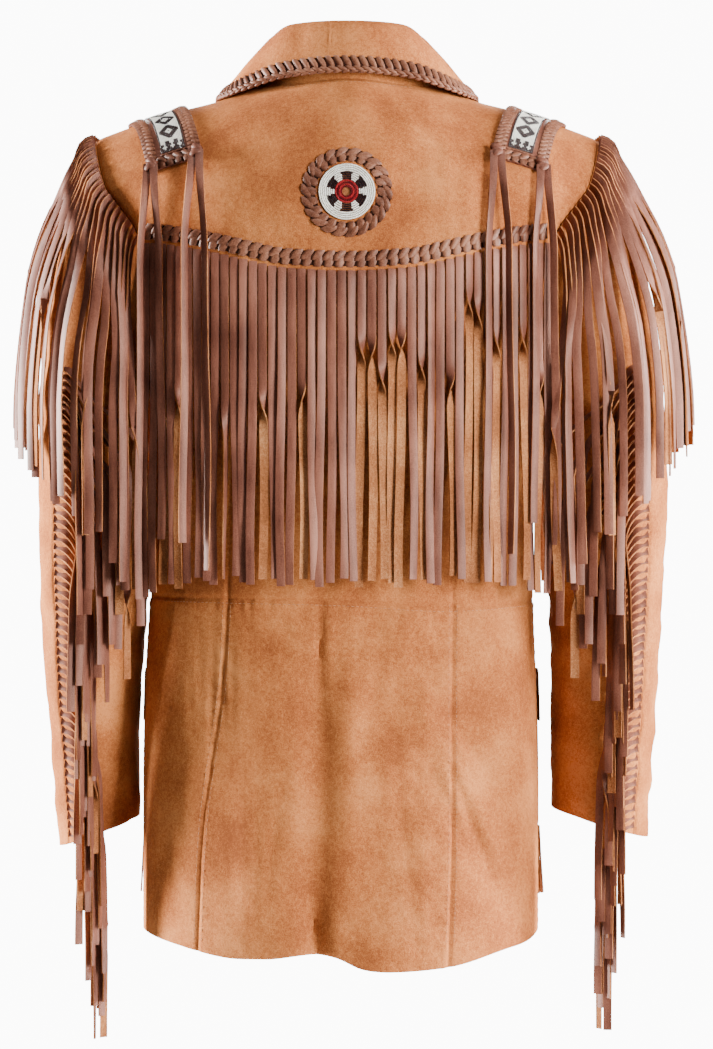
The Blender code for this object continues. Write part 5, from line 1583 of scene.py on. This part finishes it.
    def sleeves(self) -> None:
        """Fringe out of the back sleeve seams."""
        for arm in Arm:
            form = SleeveForm(self.body, arm.value)
            soup = Soup()
            first = form.cap * 0.80
            for n in range(self.sleeve_count):
                share = n / (self.sleeve_count - 1)
                slot = (n * 5 % 13) / 13
                upper = 1 - float(smooth(np.array((share - 0.16) / 0.20)))
                reach = (0.018 + 0.046 * upper) * (1 - slot) - 0.006 + wobble(n, 0.003)
                length = 0.205 + wobble(n + 11, 0.012)
                run = np.concatenate([np.linspace(0, 0.06, 20)[:-1], np.linspace(0.06, length, 16)])
                seat = np.array([first + (0.985 - first) * share])
                root, _leave = form.off(np.array([self.seam_phi + 3.0]), seat, np.array([0.0012]))
                turn = np.minimum(run / self.curl, 1.0) * math.pi / 2
                x = self.curl_out * np.sin(turn) + reach * smooth((run - 0.028) / 0.07)
                x = root[0, 0] - arm.value * (x + wobble(n + 4, 0.006) * smooth((run - 0.07) / 0.13))
                z = root[0, 2] - self.curl_down * (1 - np.cos(turn)) - np.maximum(run - self.curl, 0.0)
                y = form.back_y(x, z) + 0.0042 + 0.0095 * slot * smooth(run / 0.04) + 0.014 * run
                y = np.maximum.accumulate(np.maximum(y, root[0, 1]))
                y = root[0, 1] + (y - root[0, 1]) * smooth(run / 0.022)
                points = np.stack([x, y, z], -1)
                strip = Strip.over(points, np.array([0.0, 1.0, 0.0]), self.width)
                later = smooth((run - 0.05) / 0.08)
                angle = -arm.value * (24.0 + 46.0 * smooth(run / 0.045) - (22.0 + 30.0 * upper) * later)
                angle = angle + (wobble(n + 2, 50) + 8 * np.sin(run / 0.03 + n)) * later
                if n * 5 % 7 == 2:
                    turned = smooth((run - 0.08 - 0.01 * (n % 5)) / 0.05)
                    angle = angle + math.copysign(180, wobble(n, 1)) * turned
                strip.twist(angle).add_to(soup)
            soup.fringe("sleeve_fringe_strips_" + arm.word, "sleeve_fringe_" + arm.word)

    def thongs(self) -> None:
        """Knots at the pads' lower corners, two thongs hanging from each."""
        knots = (
            (Arm.LEFT, "outer", 0.80, (0.345, 0.400)), (Arm.LEFT, "inner", -0.84, (0.385, 0.360)),
            (Arm.RIGHT, "inner", -0.84, (0.370, 0.395)), (Arm.RIGHT, "outer", 0.80, (0.350, 0.330)),
        )
        for arm, word, a, lengths in knots:
            pad = Epaulette(self.body, arm)
            soup = Soup()
            spot, level = np.array([a]), np.array([0.965])
            centre, normal = pad.point(spot, level, 0.0062)[0], pad.normal(spot, level)[0]
            sideways = unit(np.array([normal[1], -normal[0], 0.0]))
            down = np.cross(sideways, normal)
            down = down if down[2] < 0 else -down
            for n, length in enumerate(lengths):
                side = n - 0.5
                root = centre + sideways * side * 0.007 + normal * 0.0012
                strip = self.hang(root, np.array([1.0, 0.0, 0.0]), length, 0.0085, n + 3)
                share = np.linspace(0, 1, len(strip.points))
                strip.points[:, 0] += side * 0.012 * smooth(share / 0.25) * sideways[0]
                angle = (38 if n else -32) * smooth(share / 0.15) * (1 - 0.6 * smooth((share - 0.3) / 0.5))
                strip.width = self.thong_width
                strip.twist(angle + wobble(n + a * 10, 40) * share).add_to(soup)
            for tilt, radius, shift in ((0.5, 0.0050, -0.0035), (-0.5, 0.0050, 0.0025), (0.1, 0.0042, 0.0)):
                places, faces = Workbench.loop(radius, 0.0021, 1.5)
                cosine, sine = math.cos(tilt), math.sin(tilt)
                turned = places @ np.array([[cosine, sine, 0], [-sine, cosine, 0], [0, 0, 1]])
                placed = (centre + down * (turned[:, :1] + shift) + sideways * turned[:, 1:2] * 0.9
                          + normal * turned[:, 2:3] * 0.7)
                soup.add(placed, faces, 0)
            soup.fringe("thong_pair_" + arm.word + "_" + word, "thongs_" + arm.word + "_" + word)


@dataclass
class Pockets:
    """Patch pockets with flaps and fringe, and the buttons of the fronts."""

    body: BodyForm
    lift: float = 0.0021
    wall: float = 0.0013

    def patch(self, side: int, low: float, high: float, bottom: float, top: float, lift: float) -> tuple:
        """Grid and normals of a piece laid on a front."""
        grid = self.body.panel(Face.FRONT, lambda s, _h: side * (low + (high - low) * s), shares(0.11, 0.004),
                               lambda c: 0 * c + bottom, lambda c: 0 * c + top, shares(top - bottom, 0.004))
        normals = grid_normals(grid, np.array([side * 0.5, -1, 0]))
        return grid + normals * lift, normals

    def build(self) -> None:
        """Make the pockets, flaps, their fringe and the buttons."""
        for arm, low, high in ((Arm.LEFT, 0.46, 0.92), (Arm.RIGHT, 0.50, 0.96)):
            side, word = arm.value, arm.word
            for part, add, bottom, top, lift, seams, flat in (
                    ("pocket_", 0.0, -0.690, -0.566, self.lift, "lrb", (0.105, 0.126)),
                    ("pocket_flap_", 0.010, -0.590, -0.540, self.lift * 1.85, "t", (0.112, 0.052))):
                grid, normals = self.patch(side, low - add, high + add / 2, bottom, top, lift)
                soup = Soup()
                shell(soup, sewn(grid, normals, seams, 0.0006), normals, self.wall)
                made = soup.suede(part + "suede_" + word, part + word)
            soup = Soup()
            for n, c in enumerate(np.linspace(low + 0.015, high - 0.015, 12)):
                three = np.array([c - 0.01, c, c + 0.01]) * side
                root = self.body.point(Face.FRONT, three, np.full(3, -0.690))
                across = unit((root[2] - root[0]) * np.array([1, 1, 0]))
                out = np.array([across[1], -across[0], 0.0])
                out = out if out @ root[1] > 0 else -out
                drops = np.linspace(0, 0.066 + wobble(n, 0.004), 10)
                fall = drops[:, None]
                points = root[1] + out * (0.0022 + 0.06 * fall) - np.array([0, 0, 1.0]) * fall
                strip = Strip(points, np.repeat(across[None], 10, 0), np.repeat(out[None], 10, 0), 0.0078)
                strip.twist(wobble(n, 30) * np.linspace(0, 1, 10)).add_to(soup)
            soup.fringe("pocket_strips_" + word, "pocket_fringe_" + word)
        places, faces = Workbench.button(0.0095, 0.0032)
        for number, z in enumerate((-0.115, -0.245, -0.375, -0.505, -0.635), start=1):
            point, normal = self.body.place(Face.FRONT, np.array([0.0]), np.array([z]))
            across = np.array([1.0, 0.0, 0.0])
            up = np.cross(normal[0], across)
            soup = Soup()
            soup.add(point[0] + places[:, :1] * across + places[:, 1:2] * up
                     + (places[:, 2:3] + 0.0024) * normal[0], faces)
            soup.piece("horn_button_" + str(number), [HORN], ["button_" + str(number)])


@dataclass
class Studio:
    """Camera, softboxes, pale floor and white surroundings."""

    eye: tuple[float, float, float] = (-0.0119, 3.0, -0.403)
    lens: float = 108.4
    grid: float = 64.0
    sky: float = 12.0
    ambient: float = 0.06

    def softbox(self, name: str, place: tuple, aim: tuple, size: tuple[float, float], watts: float) -> None:
        """Add an area light that looks at a point."""
        light = bpy.data.lights.new(name, "AREA")
        light.shape = "RECTANGLE"
        light.size, light.size_y = size
        light.energy = watts
        light.spread = math.radians(self.grid)
        lamp = bpy.data.objects.new(name, light)
        way = np.subtract(aim, place)
        lamp.location = place
        flat = math.hypot(way[0], way[1])
        tilt, turn = math.atan2(way[2], flat), math.atan2(way[1], way[0])
        lamp.rotation_euler = (math.pi / 2 + tilt, 0, turn - math.pi / 2)
        bpy.context.scene.collection.objects.link(lamp)

    def build(self) -> None:
        """Set up the studio."""
        camera = bpy.data.objects.new("camera", bpy.data.cameras.new("camera"))
        camera.location = self.eye
        camera.rotation_euler = (math.pi / 2, 0, math.pi)
        camera.data.lens = self.lens
        camera.data.sensor_width = 36
        bpy.context.scene.collection.objects.link(camera)
        bpy.context.scene.camera = camera
        self.softbox("softbox_left", (2.6, -0.42, -0.25), (0.1, 0, -0.4), (0.4, 1.9), 80)
        self.softbox("softbox_right", (-1.95, 1.7, -0.2), (0, 0, -0.45), (0.8, 1.8), 28.5)
        self.softbox("rim_right", (-2.6, -0.30, -0.25), (-0.1, 0, -0.4), (0.4, 1.9), 42)
        self.softbox("top_box", (-0.15, 0.9, 2.3), (0.0, 0, -0.1), (1.1, 0.8), 5)
        self.softbox("front_box", (0.0, -3.0, 1.2), (0, 0, -0.4), (1.6, 1.2), 40)
        world = bpy.data.worlds.new("studio")
        world.use_nodes = True
        tree = world.node_tree
        ray = add_node(tree, "ShaderNodeLightPath").outputs["Is Camera Ray"]
        shown = {"operation": "MULTIPLY_ADD", 1: self.sky, 2: self.ambient}
        strength = add_node(tree, "ShaderNodeMath", shown, _0=ray)
        tree.nodes["Background"].inputs["Color"].default_value = linear("#F8F8F7")
        tree.links.new(strength.outputs[0], tree.nodes["Background"].inputs["Strength"])
        bpy.context.scene.world = world
        Workbench.clear()
        bpy.ops.mesh.primitive_plane_add(size=4.4, location=(0, 0, -1.45))
        floor = bpy.context.object
        floor.name = "floor"
        paint = bpy.data.materials.new("pale_matt_paper")
        paint.use_nodes = True
        shader = paint.node_tree.nodes["Principled BSDF"]
        shader.inputs["Base Color"].default_value = linear("#F7F6F4")
        shader.inputs["Roughness"].default_value = 0.9
        floor.data.materials.append(paint)


def main() -> None:
    """Dress the coat."""
    logging.basicConfig(level=logging.INFO, format="%(message)s")
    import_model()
    body, seams = BodyForm(), Seams()
    tailor = Tailor(body, seams)
    tailor.yoke()
    tailor.back()
    tailor.fronts()
    tailor.sleeves()
    tailor.sew()
    Collar(body).build()
    YokeTrim(body, seams).build()
    Rosette(body).build()
    for arm in Arm:
        Epaulette(body, arm).build()
    fringes = Fringes(body, seams)
    fringes.back()
    fringes.armholes()
    fringes.sleeves()
    fringes.thongs()
    Pockets(body).build()
    Studio().build()


if __name__ == "__main__":
    main()
